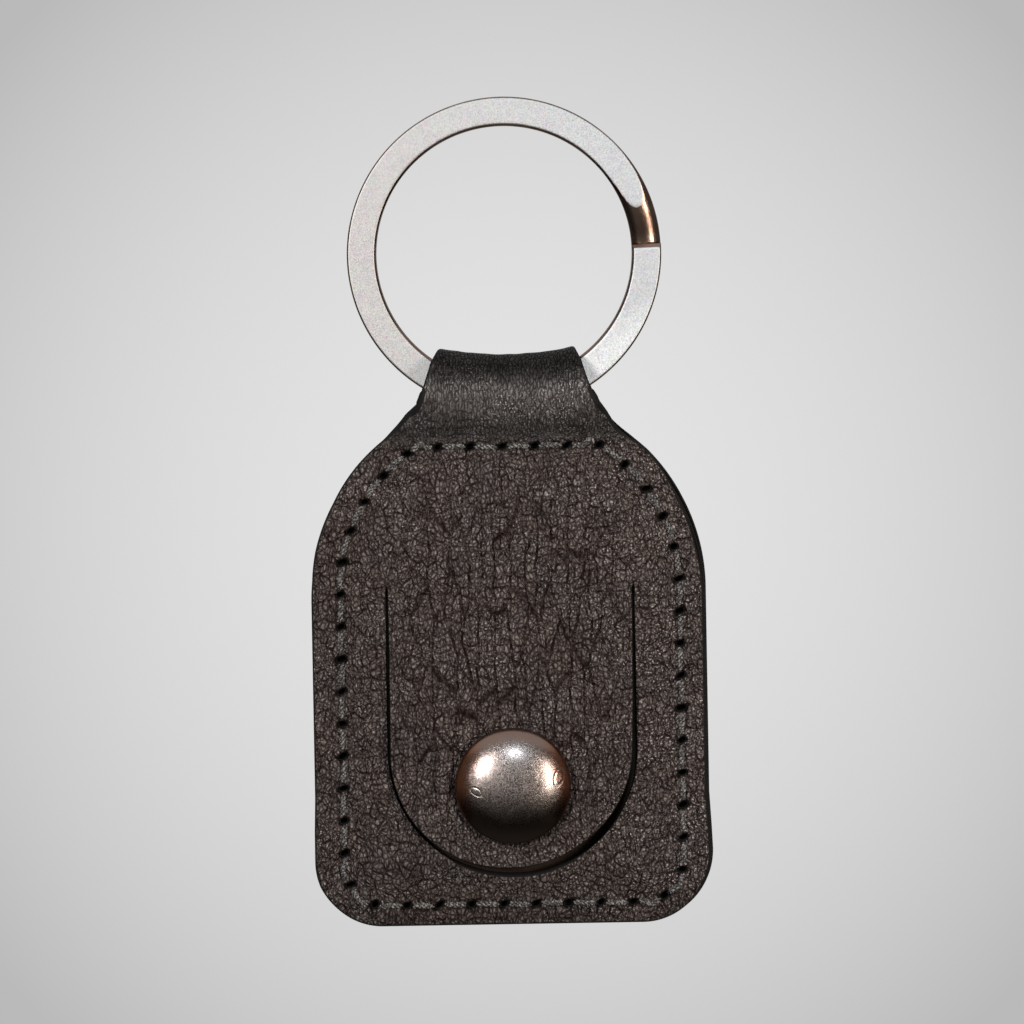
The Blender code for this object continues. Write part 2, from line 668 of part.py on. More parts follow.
def spring_shape():
    """An open ring of round wire round the stud's head."""
    half_gap = SPRING_OPENING / 2
    sections = []
    for step in range(ROUND_STEPS + 1):
        angle = half_gap + (math.tau - SPRING_OPENING) * step / ROUND_STEPS
        section = []
        for side in range(WIRE_SIDES):
            turn = math.tau * side / WIRE_SIDES
            radius = SPRING_RADIUS + SPRING_WIRE_RADIUS * math.cos(turn)
            forward = SPRING_FORWARD + SPRING_WIRE_RADIUS * math.sin(turn)
            section.append((radius * math.cos(angle), -forward, SNAP_Z + radius * math.sin(angle)))
        sections.append(section)
    return swept_shape(sections, closed=False)


# Turned parts of the snap, drawn as (radius, forward)

def turned_shape(profile, closed):
    shape = bmesh.new()
    corners = [shape.verts.new((radius, -forward, SNAP_Z)) for radius, forward in profile]
    pairs = list(zip(corners, corners[1:]))
    if closed:
        pairs.append((corners[-1], corners[0]))
    edges = [shape.edges.new(pair) for pair in pairs]
    bmesh.ops.spin(
        shape, geom=corners + edges, cent=(0, 0, SNAP_Z), axis=(0, 1, 0),
        angle=math.tau, steps=ROUND_STEPS, use_merge=True)
    bmesh.ops.remove_doubles(shape, verts=shape.verts, dist=WELD_DISTANCE)
    bmesh.ops.recalc_face_normals(shape, faces=shape.faces)
    return shape


def dome(radius, height, inner_radius=0):
    """The domed side of the cap, from its middle (or from an inner radius) out to its rim."""
    start = math.asin(inner_radius / radius)
    turns = [start + (math.pi / 2 - start) * step / DOME_STEPS for step in range(DOME_STEPS + 1)]
    return [(radius * math.sin(turn), CAP_BASE + CAP_RIM + height * math.cos(turn)) for turn in turns]


def cap_shape():
    """A hollow dome with a hollow rivet shank, flared inside the socket."""
    outside = dome(CAP_RADIUS, CAP_HEIGHT - CAP_RIM)
    inside = dome(CAP_RADIUS - CAP_WALL, CAP_HEIGHT - CAP_RIM - CAP_WALL, SHANK_RADIUS)
    rim = [(CAP_RADIUS, CAP_BASE), (CAP_RADIUS - CAP_WALL, CAP_BASE)]
    shank = [
        (SHANK_RADIUS, FLARE_TOP),
        (SHANK_FLARE_RADIUS, FLARE_TOP),
        (SHANK_FLARE_RADIUS, FLARE_BASE),
        (SHANK_BORE, FLARE_BASE),
        (SHANK_BORE, CAP_BASE),
        (0, CAP_BASE),
    ]
    return turned_shape(outside + rim + inside[::-1] + shank, closed=False)


def socket_shape():
    """A flanged cup with a lip that keeps the spring in."""
    return turned_shape([
        (SHANK_HOLE_RADIUS, SOCKET_TOP),
        (SOCKET_RADIUS, SOCKET_TOP),
        (SOCKET_RADIUS, SOCKET_WEB_BASE),
        (SOCKET_BODY_RADIUS, SOCKET_WEB_BASE - SOCKET_WALL),
        (SOCKET_BODY_RADIUS, SOCKET_BASE + SOCKET_WALL),
        (SOCKET_BODY_RADIUS - SOCKET_WALL, SOCKET_BASE),
        (MOUTH_RADIUS, SOCKET_BASE),
        (MOUTH_RADIUS, SOCKET_BASE + SOCKET_WALL),
        (CHAMBER_RADIUS, SOCKET_BASE + SOCKET_WALL),
        (CHAMBER_RADIUS, SOCKET_WEB_BASE),
        (SHANK_HOLE_RADIUS, SOCKET_WEB_BASE),
    ], closed=True)


def stud_shape():
    """A wide flange and a ball head with a waist, bored for the post."""
    waist = STUD_FLANGE_TOP + STUD_HEIGHT * WAIST_SHARE
    ball = STUD_FLANGE_TOP + STUD_HEIGHT * BALL_SHARE
    crown = STUD_FLANGE_TOP + STUD_HEIGHT * CROWN_SHARE
    return turned_shape([
        (STUD_BORE_RADIUS, STUD_BASE),
        (STUD_FLANGE_RADIUS, STUD_BASE),
        (STUD_FLANGE_RADIUS, STUD_FLANGE_TOP),
        (STUD_NECK_RADIUS, STUD_FLANGE_TOP),
        (STUD_NECK_RADIUS, waist),
        (STUD_BALL_RADIUS, ball),
        (STUD_BALL_RADIUS, crown),
        (STUD_NECK_RADIUS, STUD_TOP),
        (POST_SEAT_RADIUS, STUD_TOP),
        (POST_SEAT_RADIUS, POST_SEAT_FORWARD),
        (STUD_BORE_RADIUS, POST_SEAT_FORWARD),
    ], closed=True)


def post_shape():
    """A flange behind the lining, and a shank that is flared in the stud's head."""
    flange_front = -LINING_THICKNESS / 2 - SNAP_GAP
    flange_back = flange_front - STUD_FLANGE_THICKNESS
    flare_base = POST_SEAT_FORWARD + METAL_GAP
    flare_top = flare_base + POST_FLARE_THICKNESS
    return turned_shape([
        (0, flange_back),
        (POST_FLANGE_RADIUS, flange_back),
        (POST_FLANGE_RADIUS, flange_front),
        (POST_RADIUS, flange_front),
        (POST_RADIUS, flare_base),
        (POST_FLARE_RADIUS, flare_base),
        (POST_FLARE_RADIUS, flare_top),
        (0, flare_top),
    ], closed=False)


def add_ring():
    new_piece("split_ring", split_ring_shape(), satin_steel("ring_steel"), smooth_angle=ROUND_EDGE)


def add_case():
    """Everything that swings on the ring, apart from the flap."""
    axis = new_axis("ring_swing_axis", (0, 0, LOOP_AXIS_Z))
    new_piece("leather_wrap", wrap_shape(), leather("wrap_leather"), axis, ROUND_EDGE)
    new_piece("pocket_lining", lining_shape(), raw_leather("lining_leather"), axis)
    new_piece("needle_thread", thread_shape(1), waxed_thread("front_thread"), axis)
    new_piece("bobbin_thread", thread_shape(-1), waxed_thread("back_thread"), axis)
    new_piece("snap_stud", stud_shape(), plain_nickel("stud_nickel"), axis, ROUND_EDGE)
    new_piece("snap_post", post_shape(), plain_nickel("post_nickel"), axis, ROUND_EDGE)


def add_flap():
    """The leather tongue, and the parts of the snap that it carries."""
    axis = new_axis("flap_hinge_axis", (0, -PANEL_FORWARD, HINGE_Z))
    new_piece("flap_leather", flap_shape(), leather("flap_leather"), axis, ROUND_EDGE)
    new_piece("snap_cap", cap_shape(), worn_nickel("cap_nickel"), axis, ROUND_EDGE)
    new_piece("snap_socket", socket_shape(), plain_nickel("socket_nickel"), axis, ROUND_EDGE)
    new_piece("snap_spring", spring_shape(), satin_steel("spring_steel"), axis, ROUND_EDGE)


clear_scene()
add_ring()
add_case()
add_flap()
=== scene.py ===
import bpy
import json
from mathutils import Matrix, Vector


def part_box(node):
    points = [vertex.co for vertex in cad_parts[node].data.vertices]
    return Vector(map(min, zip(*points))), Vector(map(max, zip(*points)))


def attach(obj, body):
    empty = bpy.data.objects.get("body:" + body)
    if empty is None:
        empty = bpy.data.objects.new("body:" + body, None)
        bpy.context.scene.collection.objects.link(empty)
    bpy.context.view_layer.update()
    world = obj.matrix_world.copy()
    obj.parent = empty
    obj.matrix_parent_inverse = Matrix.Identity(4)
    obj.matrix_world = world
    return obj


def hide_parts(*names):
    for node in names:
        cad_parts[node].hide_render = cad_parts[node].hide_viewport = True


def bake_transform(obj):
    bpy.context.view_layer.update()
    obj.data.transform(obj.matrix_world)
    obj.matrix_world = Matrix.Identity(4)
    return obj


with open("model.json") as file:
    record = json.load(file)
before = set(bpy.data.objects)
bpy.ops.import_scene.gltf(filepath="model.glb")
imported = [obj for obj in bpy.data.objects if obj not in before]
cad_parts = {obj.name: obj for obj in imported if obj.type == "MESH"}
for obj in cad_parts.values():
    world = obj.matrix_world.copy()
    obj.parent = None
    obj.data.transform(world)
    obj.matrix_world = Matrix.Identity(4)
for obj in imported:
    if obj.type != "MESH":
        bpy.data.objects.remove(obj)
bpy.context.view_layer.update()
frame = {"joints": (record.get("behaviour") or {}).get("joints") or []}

import json
import math

import bmesh
import bpy
import numpy as np
from mathutils import Vector, kdtree, noise
from mathutils.geometry import delaunay_2d_cdt

# Coin holder keychain: the looks. Metres, front towards -Y, "forward" is the distance to -Y.
mm = 0.001


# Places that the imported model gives

def jointPlace(name):
    return Vector(next(joint["pos_m"] for joint in frame["joints"] if joint["name"] == name))


ringLow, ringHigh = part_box("split_ring")
capLow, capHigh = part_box("snap_cap")
socketLow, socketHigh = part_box("snap_socket")
springLow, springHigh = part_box("snap_spring")
studLow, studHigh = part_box("snap_stud")
postLow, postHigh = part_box("snap_post")
ringMiddle = (ringLow + ringHigh) / 2
loopAxisZ = jointPlace("ring_swing").z
hingeZ = jointPlace("flap_hinge").z
panelForward = -jointPlace("flap_hinge").y
snapZ = ((capLow + capHigh) / 2).z
capRadius = (capHigh.x - capLow.x) / 2
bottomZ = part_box("leather_wrap")[0].z
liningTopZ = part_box("pocket_lining")[1].z


# Small tools

def smoothShare(value):
    share = np.clip(value, 0, 1)
    return share * share * (3 - 2 * share)


def arc(centre, radii, start, end, steps):
    turns = np.linspace(math.radians(start), math.radians(end), steps + 1)
    return [(centre[0] + radii[0] * math.cos(turn), centre[1] + radii[1] * math.sin(turn)) for turn in turns]


def circle(centre, radius, steps):
    return arc(centre, (radius, radius), 0, 360, steps)[:-1]


def mirrored(points):
    return [(-x, z) for x, z in reversed(points)]


def spaced(points, step, closed=False):
    # the same line with its points evenly spaced
    line = np.array(points + points[:1] if closed else points)
    run = np.concatenate([[0], np.cumsum(np.linalg.norm(np.diff(line, axis=0), axis=1))])
    count = max(round(run[-1] / step), 2)
    stops = np.linspace(0, run[-1], count + 1)
    if closed:
        stops = stops[:-1]
    return [(np.interp(stop, run, line[:, 0]), np.interp(stop, run, line[:, 1])) for stop in stops]


def movedIn(loop, distance):
    # a loop that runs inside a clockwise one, or outside an anticlockwise one
    line = np.array(loop)
    along = np.roll(line, -1, axis=0) - np.roll(line, 1, axis=0)
    along /= np.linalg.norm(along, axis=1)[:, None]
    return [tuple(point) for point in line + np.stack([along[:, 1], -along[:, 0]], axis=1) * distance]


def insideLoop(points, loop):
    # even-odd test of many points at once
    line = np.array(loop)
    following = np.roll(line, -1, axis=0)
    inside = np.zeros(len(points), bool)
    for (x0, z0), (x1, z1) in zip(line, following):
        if z0 == z1:
            continue
        crosses = (z0 > points[:, 1]) != (z1 > points[:, 1])
        inside ^= crosses & (points[:, 0] < (x1 - x0) * (points[:, 1] - z0) / (z1 - z0) + x0)
    return inside


def unit(vectors, least=1e-20):
    return vectors / np.maximum(np.linalg.norm(vectors, axis=1), least)[:, None]


def newPiece(name, mesh, finishes):
    for finish in finishes:
        mesh.materials.append(finish)
    piece = bpy.data.objects.new(name, mesh)
    bpy.context.scene.collection.objects.link(piece)
    return piece


def addNode(tree, kind, inputs=None, **settings):
    made = tree.nodes.new(kind)
    for name, value in settings.items():
        setattr(made, name, value)
    for key, value in (inputs or {}).items():
        if isinstance(value, bpy.types.NodeSocket):
            tree.links.new(value, made.inputs[key])
        else:
            made.inputs[key].default_value = value
    return made


def addMath(tree, operation, *values):
    return addNode(tree, "ShaderNodeMath", dict(enumerate(values)), operation=operation).outputs[0]


def addChain(tree, operation, *values):
    # one operation over all the values, such as their product or the largest of them
    made = values[0]
    for value in values[1:]:
        made = addMath(tree, operation, made, value)
    return made


def addVector(tree, operation, *values):
    made = addNode(tree, "ShaderNodeVectorMath", dict(enumerate(values)), operation=operation)
    return made.outputs["Value" if operation in ("DOT_PRODUCT", "LENGTH") else "Vector"]


def stretched(tree, place, shares):
    return addVector(tree, "MULTIPLY", place, shares)


def scaled(tree, vector, factor):
    return addNode(tree, "ShaderNodeVectorMath", {0: vector, "Scale": factor}, operation="SCALE").outputs[0]


def addParts(tree, vector):
    return addNode(tree, "ShaderNodeSeparateXYZ", {0: vector}).outputs


def addMix(tree, share, first, second):
    return addNode(tree, "ShaderNodeMix", {0: share, 2: first, 3: second}).outputs[0]


def addAttribute(tree, name, output="Fac"):
    return addNode(tree, "ShaderNodeAttribute", attribute_name=name).outputs[output]


def addNoise(tree, place, scale, detail=2, roughness=0.5, output="Fac"):
    return addNode(
        tree, "ShaderNodeTexNoise",
        {"Vector": place, "Scale": scale, "Detail": detail, "Roughness": roughness}).outputs[output]


def addRange(tree, value, low, high, newLow=0, newHigh=1, smooth=False):
    return addNode(
        tree, "ShaderNodeMapRange",
        {"Value": value, "From Min": low, "From Max": high, "To Min": newLow, "To Max": newHigh},
        interpolation_type="SMOOTHSTEP" if smooth else "LINEAR").outputs[0]


def addPatches(tree, place, wave, span, strengths=(0, 1)):
    # wave: how much noise there is to a millimetre, its detail and roughness
    return addRange(tree, addNoise(tree, place, *wave), *span, *strengths)


def addColour(tree, share, first, second):
    mix = addNode(tree, "ShaderNodeMix", data_type="RGBA")
    for index, value in ((0, share), (6, first), (7, second)):
        if isinstance(value, bpy.types.NodeSocket):
            tree.links.new(value, mix.inputs[index])
        else:
            mix.inputs[index].default_value = (*value, 1) if index else value
    return mix.outputs[2]


def addRamp(tree, value, stops):
    # straight lines between the stops
    low, high = stops[0][0], stops[-1][0]
    ramp = addNode(tree, "ShaderNodeValToRGB", {0: addRange(tree, value, low, high)})
    points = ramp.color_ramp.elements
    for index, (place, level) in enumerate(stops):
        share = (place - low) / (high - low)
        point = points[index] if index < 2 else points.new(share)
        point.position = share
        point.color = (level, level, level, 1)
    return ramp.outputs[0]


def addBump(tree, height, distance, strength=1, normal=None):
    inputs = {"Height": height, "Distance": distance, "Strength": strength}
    if normal:
        inputs["Normal"] = normal
    return addNode(tree, "ShaderNodeBump", inputs).outputs[0]


# Materials

# noise: how much of it to a millimetre, its detail and roughness; a span: where a change begins and ends
def newFinish(name, values=None):
    finish = bpy.data.materials.new(name)
    finish.use_nodes = True
    tree = finish.node_tree
    for key, value in (values or {}).items():
        tree.nodes["Principled BSDF"].inputs[key].default_value = value
    return finish, tree, scaled(tree, addNode(tree, "ShaderNodeTexCoord").outputs["Object"], 1 / mm)


def finished(finish, sockets):
    tree = finish.node_tree
    for name, socket in sockets.items():
        tree.links.new(socket, tree.nodes["Principled BSDF"].inputs[name])
    return finish


grain = {
    # pebbles to a millimetre, how they are drawn out, and how wide the creases between them are
    "sizes": {
        "coarse": (0.50, (1.20, 0.86, 1.0), 0.15),
        "long": (0.43, (1.50, 0.32, 1.0), 0.24),
        "middle": (1.0, (1.20, 0.86, 1.0), 0.15),
        "small": (2.15, (1.20, 0.86, 1.0), 0.11),
        "loop": (2.1, (1.55, 0.55, 1.0), 0.10),
    },
    "wander": ((0.42, 2.0, 0.45), (2.4, 1.0, 0.055)),   # noise, its detail, and how far it moves the creases
    # where creases are strong: noise, its span and the strengths there
    "coarse patches": ((0.30, 2), (0.36, 0.62), (0.15, 0.75)),
    "middle patches": ((0.55, 2), (0.35, 0.62), (0.50, 1)),
    "middle stretch": (1.0, 1.3, 1.0),
    "long patches": ((0.36, 1), (0.35, 0.60), (0.70, 1)),
    # the long creases keep to the middle of the front, in millimetres of the strip
    "long middle": -27.0,
    "long across": (8.0, 16.0, 1, 0.1),
    "long along": (12.0, 22.0, 1, 0.15),
    "coarse loss": 0.5,              # how much of the coarse creases is missing there
    "loop begins": (-5.6, -4.2),
    "loop ends": (13.0, 17.0, 1, 0),
    "loop loss": 0.9,
    "crease floor": 0.01,
    "tiny depth": 0.7,
    "fine": (6.5, 3, 0.65),
    "fine light": (0.34, 0.66, 0.62, 1.38),
    "cloud": ((0.16, 3), (0.35, 0.65)),
    "top": (0.101, 0.090, 0.087),
    "warm top": (0.112, 0.091, 0.081),
    "pebble light": {"small": (0.62, 1.38), "middle": (0.78, 1.22)},
    # painted highlight on each small pebble's dome
    "painted dome light": (0, 0.17, 0.72, 1.15),
    "painted crease shade": (0.66, 0.84, 0.86),                  # painted shade in the tiny, middle and deep creases
    "crease": (0.0120, 0.0046, 0.0036),
    # painted glints on the pebble tops: their noise and span, the patches they keep to, more of them to the
    # right, and their colour
    "glints": ((5.4, 1), (0.585, 0.67)),
    "glint patches": ((0.24, 2), (0.40, 0.62), (0.12, 0.75)),
    "glints to the right": (5.0, 15.0, 0, 0.50),
    "paintedGlints": (0.60, 0.56, 0.53),
    "loop grey": 0.6,
    # painted shade in the stitch holes: its colour, and where it begins and ends
    "hole": (0.0045, 0.0040, 0.0038),
    "hole shade edge": (0.15, 0.80),
    "gloss": 0.42,
    "gloss edge": (0.10, 0.60),
    "hole gloss": 0.02,
    "crease gloss loss": 0.85,
    "roughness": (0, 0.8, 0.27, 0.60),
    "fine roughness": 0.20,
    "pebble swell": (0, 0.42),
    "deep share": 1.3,
    "depth": 0.098 * mm,
    "small swell": (0, 0.15, 0, 1),
    "streak swell": (0, 0.15, 0, 0.6),
    "small depth": 0.10 * mm,
    "fine depth": 0.030 * mm,
    # painted light and shade along the strip: light where the loop faces the lamps, dark where it turns over
    # the ring and down behind; millimetres along the strip, half the lightness
    "paintedLight": (
        (-54.0, 0.31), (-51.8, 0.34), (-49.5, 0.44), (-30.0, 0.45), (-8.0, 0.50), (-6.0, 0.46), (-5.0, 0.27),
        (-3.4, 0.26), (-2.0, 0.58), (-0.2, 0.62), (1.0, 0.24), (2.2, 0.10), (9.0, 0.12), (14.0, 0.50)),
}


def addPebbles(tree, moved, name, **settings):
    cells, stretch, _ = grain["sizes"][name]
    return addNode(
        tree, "ShaderNodeTexVoronoi", {"Vector": stretched(tree, moved, stretch), "Scale": cells},
        voronoi_dimensions="2D", **settings).outputs


def grainPattern(tree, place):
    # distance in millimetres to the nearest crease of each size, for the mesh and for the finish
    moved = place
    for scale, detail, reach in grain["wander"]:
        centred = addVector(
            tree, "SUBTRACT", addNoise(tree, place, scale, detail, output="Color"), (0.5, 0.5, 0.5))
        moved = addVector(tree, "MULTIPLY_ADD", centred, (2 * reach,) * 3, moved)
    lines = {"moved": moved}
    for name, (cells, _, _) in grain["sizes"].items():
        edge = addPebbles(tree, moved, name, feature="DISTANCE_TO_EDGE")["Distance"]
        lines[name] = addMath(tree, "DIVIDE", edge, cells)
    return lines


def grainMasks(tree, place):
    # how strong the coarse, long and middle creases are from place to place, and where the loop is
    split = addParts(tree, place)
    across = addRange(tree, addMath(tree, "ABSOLUTE", split[0]), *grain["long across"], smooth=True)
    up = addMath(tree, "ABSOLUTE", addMath(tree, "SUBTRACT", split[1], grain["long middle"]))
    inMiddle = addMath(tree, "MULTIPLY", across, addRange(tree, up, *grain["long along"], smooth=True))
    long = addMath(tree, "MULTIPLY", inMiddle, addPatches(tree, place, *grain["long patches"]))
    coarse = addMath(
        tree, "MULTIPLY", addPatches(tree, place, *grain["coarse patches"]),
        addMath(tree, "MULTIPLY_ADD", inMiddle, -grain["coarse loss"], 1))
    middle = addPatches(tree, stretched(tree, place, grain["middle stretch"]), *grain["middle patches"])
    onLoop = addMath(
        tree, "MULTIPLY", addRange(tree, split[1], *grain["loop begins"], smooth=True),
        addRange(tree, split[1], *grain["loop ends"], smooth=True))
    offLoop = addMath(tree, "MULTIPLY_ADD", onLoop, -grain["loop loss"], 1)
    return [addMath(tree, "MULTIPLY", mask, offLoop) for mask in (coarse, long, middle)] + [onLoop]


def creaseShades(tree, lines, strengths):
    # how far down a tiny, a middle or a deep crease each point is
    valleys = {}
    for name, strength in strengths.items():
        width = grain["sizes"][name][2]
        valley = addRange(tree, lines[name], grain["crease floor"], width, 1, 0, smooth=True)
        valleys[name] = addMath(tree, "MULTIPLY", valley, strength)
    tiny = addMath(tree, "MAXIMUM", valleys["small"], valleys["loop"])
    return tiny, valleys["middle"], addMath(tree, "MAXIMUM", valleys["coarse"], valleys["long"])


def leatherTone(tree, place, lines, shades, paintedLight, fine):
    # the grain's colour without its painted glints: each pebble a little lighter or darker at random, with a
    # painted highlight on its dome, painted shade in the creases and painted light and shade along the strip
    lights = [paintedLight, addRange(tree, fine, *grain["fine light"])]
    for name, light in grain["pebble light"].items():
        cell = addPebbles(tree, lines["moved"], name)["Color"]
        lights.append(addRange(tree, addParts(tree, cell)[0], 0, 1, *light))
    # painted highlight: each small pebble lighter in its middle than at its creases
    lights.append(addRange(tree, lines["small"], *grain["painted dome light"]))
    # painted shade in the creases
    for shade, dark in zip(shades, grain["painted crease shade"]):
        lights.append(addMath(tree, "MULTIPLY_ADD", shade, -dark, 1))
    brown = addColour(tree, addPatches(tree, place, *grain["cloud"]), grain["top"], grain["warm top"])
    return scaled(tree, brown, addChain(tree, "MULTIPLY", *lights))


def leatherColour(tree, place, toned, valley, paintedLight, onLoop):
    # painted glints: light flecks on the open pebble tops
    across = addParts(tree, place)[0]
    where = addMath(
        tree, "ADD", addPatches(tree, place, *grain["glint patches"]),
        addRange(tree, across, *grain["glints to the right"]))
    open_ = addMath(tree, "SUBTRACT", 1, valley)
    glintShare = addChain(tree, "MULTIPLY", addPatches(tree, place, *grain["glints"]), where, open_, paintedLight)
    paintedGlints = addColour(tree, glintShare, toned, grain["paintedGlints"])
    colour = addVector(tree, "ADD", paintedGlints, scaled(tree, grain["crease"], paintedLight))
    grey = addNode(tree, "ShaderNodeRGBToBW", {0: paintedGlints}).outputs[0]
    return addColour(tree, addMath(tree, "MULTIPLY", onLoop, grain["loop grey"]), colour, grey)


def leatherRelief(tree, lines, shades, onLoop, offLoop, fine):
    _, middle, deep = shades
    body = addRange(tree, lines["middle"], *grain["pebble swell"], smooth=True)
    body = addMath(tree, "MULTIPLY", body, offLoop)
    broad = addBump(tree, addMath(tree, "MULTIPLY_ADD", deep, -grain["deep share"], body), grain["depth"])
    small = addRange(tree, lines["small"], *grain["small swell"], smooth=True)
    streaks = addRange(tree, lines["loop"], *grain["streak swell"], smooth=True)
    small = addMath(tree, "SUBTRACT", addMix(tree, onLoop, small, streaks), middle)
    pebbled = addBump(tree, small, grain["small depth"], 1, broad)
    return addBump(tree, fine, grain["fine depth"], 1, pebbled)


def grainLeather():
    finish, tree, _ = newFinish("grainLeather", {"Specular IOR Level": grain["gloss"]})
    place = addAttribute(tree, "strip", "Vector")
    nearHole = addAttribute(tree, "nearHole")
    lines = grainPattern(tree, place)
    coarse, long, middle, onLoop = grainMasks(tree, place)
    offLoop = addMath(tree, "SUBTRACT", 1, onLoop)
    shades = creaseShades(
        tree, lines, {"coarse": coarse, "long": long, "middle": middle, "small": offLoop, "loop": onLoop})
    valley = addChain(
        tree, "MAXIMUM", addMath(tree, "MULTIPLY", shades[0], grain["tiny depth"]), *shades[1:])
    fine = addNoise(tree, place, *grain["fine"])
    # painted light and shade along the strip, which also scales the gloss and the glints
    paintedLight = addMath(tree, "MULTIPLY", addRamp(tree, addParts(tree, place)[1], grain["paintedLight"]), 2)
    toned = leatherTone(tree, place, lines, shades, paintedLight, fine)
    colour = leatherColour(tree, place, toned, valley, paintedLight, onLoop)
    # painted shade in the stitch holes
    holeShade = addRange(tree, nearHole, *grain["hole shade edge"], smooth=True)
    gloss = addChain(
        tree, "MULTIPLY", addMath(tree, "MULTIPLY_ADD", valley, -grain["crease gloss loss"], 1), paintedLight,
        addRange(tree, nearHole, *grain["gloss edge"], grain["gloss"], grain["hole gloss"]))
    rough = addMath(
        tree, "MULTIPLY_ADD", fine, grain["fine roughness"], addRange(tree, valley, *grain["roughness"]))
    return finished(finish, {
        "Base Color": addColour(tree, holeShade, colour, grain["hole"]),
        "Specular IOR Level": gloss,
        "Roughness": rough,
        "Normal": leatherRelief(tree, lines, shades, onLoop, offLoop, fine),
    })


edgeDye = {
    "stretch": (1.0, 5.0, 1.0),      # the layers of the hide's cut side
    "layers": (2.2, 4, 0.6),
    "dark": (0.009, 0.0085, 0.008),
    "light": (0.024, 0.022, 0.021),
    "gloss": 0.12,
    "roughness": (0.3, 0.7, 0.6, 0.8),
    "depth": 0.06 * mm,
}


def cutEdge():
    finish, tree, place = newFinish("cutEdge", {"Specular IOR Level": edgeDye["gloss"]})
    layers = addNoise(tree, stretched(tree, place, edgeDye["stretch"]), *edgeDye["layers"])
    return finished(finish, {
        "Base Color": addColour(tree, layers, edgeDye["dark"], edgeDye["light"]),
        "Roughness": addRange(tree, layers, *edgeDye["roughness"]),
        "Normal": addBump(tree, layers, edgeDye["depth"]),
    })


suede = {
    "nap": (7.0, 5, 0.7),
    "nap span": (0.25, 0.75),
    "cloud": ((0.35, 3), (0.3, 0.7)),
    "brown": (0.050, 0.033, 0.024),
    "pale brown": (0.085, 0.058, 0.043),
    "nap dark": (0.024, 0.016, 0.012),
    "darkened": (0.001, 0.001, 0.001),   # painted shade in the holes, and darker along the rim
    "darkened edge": (0.05, 0.40),
    "gloss": 0.2,
    "roughness": (0.2, 0.8, 0.95, 0.78),
    "sheen": 0.1,
    "sheen roughness": 0.5,
    "depth": 0.08 * mm,
}


def rawSuede():
    finish, tree, place = newFinish(
        "rawSuede", {"Sheen Weight": suede["sheen"], "Sheen Roughness": suede["sheen roughness"]})
    nap = addNoise(tree, place, *suede["nap"])
    base = addColour(tree, addPatches(tree, place, *suede["cloud"]), suede["brown"], suede["pale brown"])
    colour = addColour(tree, addRange(tree, nap, *suede["nap span"]), suede["nap dark"], base)
    # painted shade in the stitch holes, and darker towards the outline
    nearHole = addAttribute(tree, "nearHole")
    return finished(finish, {
        "Base Color": addColour(tree, addRange(tree, nearHole, *suede["darkened edge"]), colour, suede["darkened"]),
        "Specular IOR Level": addRange(tree, nearHole, *suede["darkened edge"], suede["gloss"], 0),
        "Roughness": addRange(tree, nap, *suede["roughness"]),
        "Normal": addBump(tree, nap, suede["depth"]),
    })


wax = {
    "fibres": (11.0, 4, 0.7),
    "fibre span": (0.35, 0.65),
    "dark": (0.010, 0.0095, 0.009),
    "light": (0.070, 0.066, 0.063),
    # painted highlights on the thread's fibres: noise, span and strength, and their colour
    "glints": ((5.0, 2, 0.6), (0.50, 0.60), (0, 0.72)),
    "glint": (0.44, 0.42, 0.40),
    "sunk": (-0.45, -0.06),          # painted shade: how far under the leather's face the thread goes black, in millimetres
    "painted hole shade": (0.001, 0.001, 0.001),
    "gloss": 0.6,
    "roughness": (0.3, 0.7, 0.62, 0.36),
    "sheen": 0.05,
    "depth": 0.05 * mm,
}


def waxedThread(surface):
    finish, tree, place = newFinish("waxedThread", {"Sheen Weight": wax["sheen"]})
    fibres = addNoise(tree, place, *wax["fibres"])
    dark = addColour(tree, addRange(tree, fibres, *wax["fibre span"]), wax["dark"], wax["light"])
    # painted highlights on the fibres
    light = addColour(tree, addPatches(tree, place, *wax["glints"]), dark, wax["glint"])
    # painted shade on the thread where it goes down into the holes
    away = addMath(tree, "ABSOLUTE", addParts(tree, place)["Y"])
    out = addRange(tree, away, *(surface / mm + depth for depth in wax["sunk"]), smooth=True)
    return finished(finish, {
        "Base Color": addColour(tree, out, wax["painted hole shade"], light),
        "Specular IOR Level": addMath(tree, "MULTIPLY", out, wax["gloss"]),
        "Roughness": addRange(tree, fibres, *wax["roughness"]),
        "Normal": addBump(tree, fibres, wax["depth"]),
    })


steel = {
    "flat": (-0.035, -0.008),        # how far under the ground face the pale colour begins, in millimetres
    "speckle": (7.0, 3, 0.7),
    "speckle span": (0.35, 0.65),
    "dark": (0.37, 0.368, 0.366),
    "pale": (0.578, 0.576, 0.574),
    "tint": 0.09,
    "tint noise": (1.1, 5.0),
    "reflection tint span": (-15.0, 15.0),   # painted reflection tint, warm on the left and cool on the right: from left to right, in millimetres
    "warm": (1.0, 0.975, 0.955),
    "cool": (0.95, 0.98, 1.0),
    # painted light on the ground face, lighter towards two sides: direction, where it begins and ends, how
    # light
    "paintedSheen": (((0.9, 0, -0.5), (-8.0, 20.0, 0.97, 1.10)), ((0.5, 0, -1.0), (24.5, 28.0, 0, 0.33))),
    "cloud": ((0.55, 3), (0.35, 0.65)),
    # the flanks' dark copper colour is partly painted reflection
    "flank": (0.22, 0.135, 0.098),
    "pale flank": (0.38, 0.265, 0.21),
    "flank roughness": 0.20,
    "satin": (0.3, 0.7, 0.42, 0.56),
    "scratches": (3.0, 4, 0.6),
    "scratch stretch": (2.0, 2.0, 9.0),
    "scratch depth": 0.008 * mm,
    "scratch strength": 0.6,
    "speckle depth": 0.012 * mm,
}


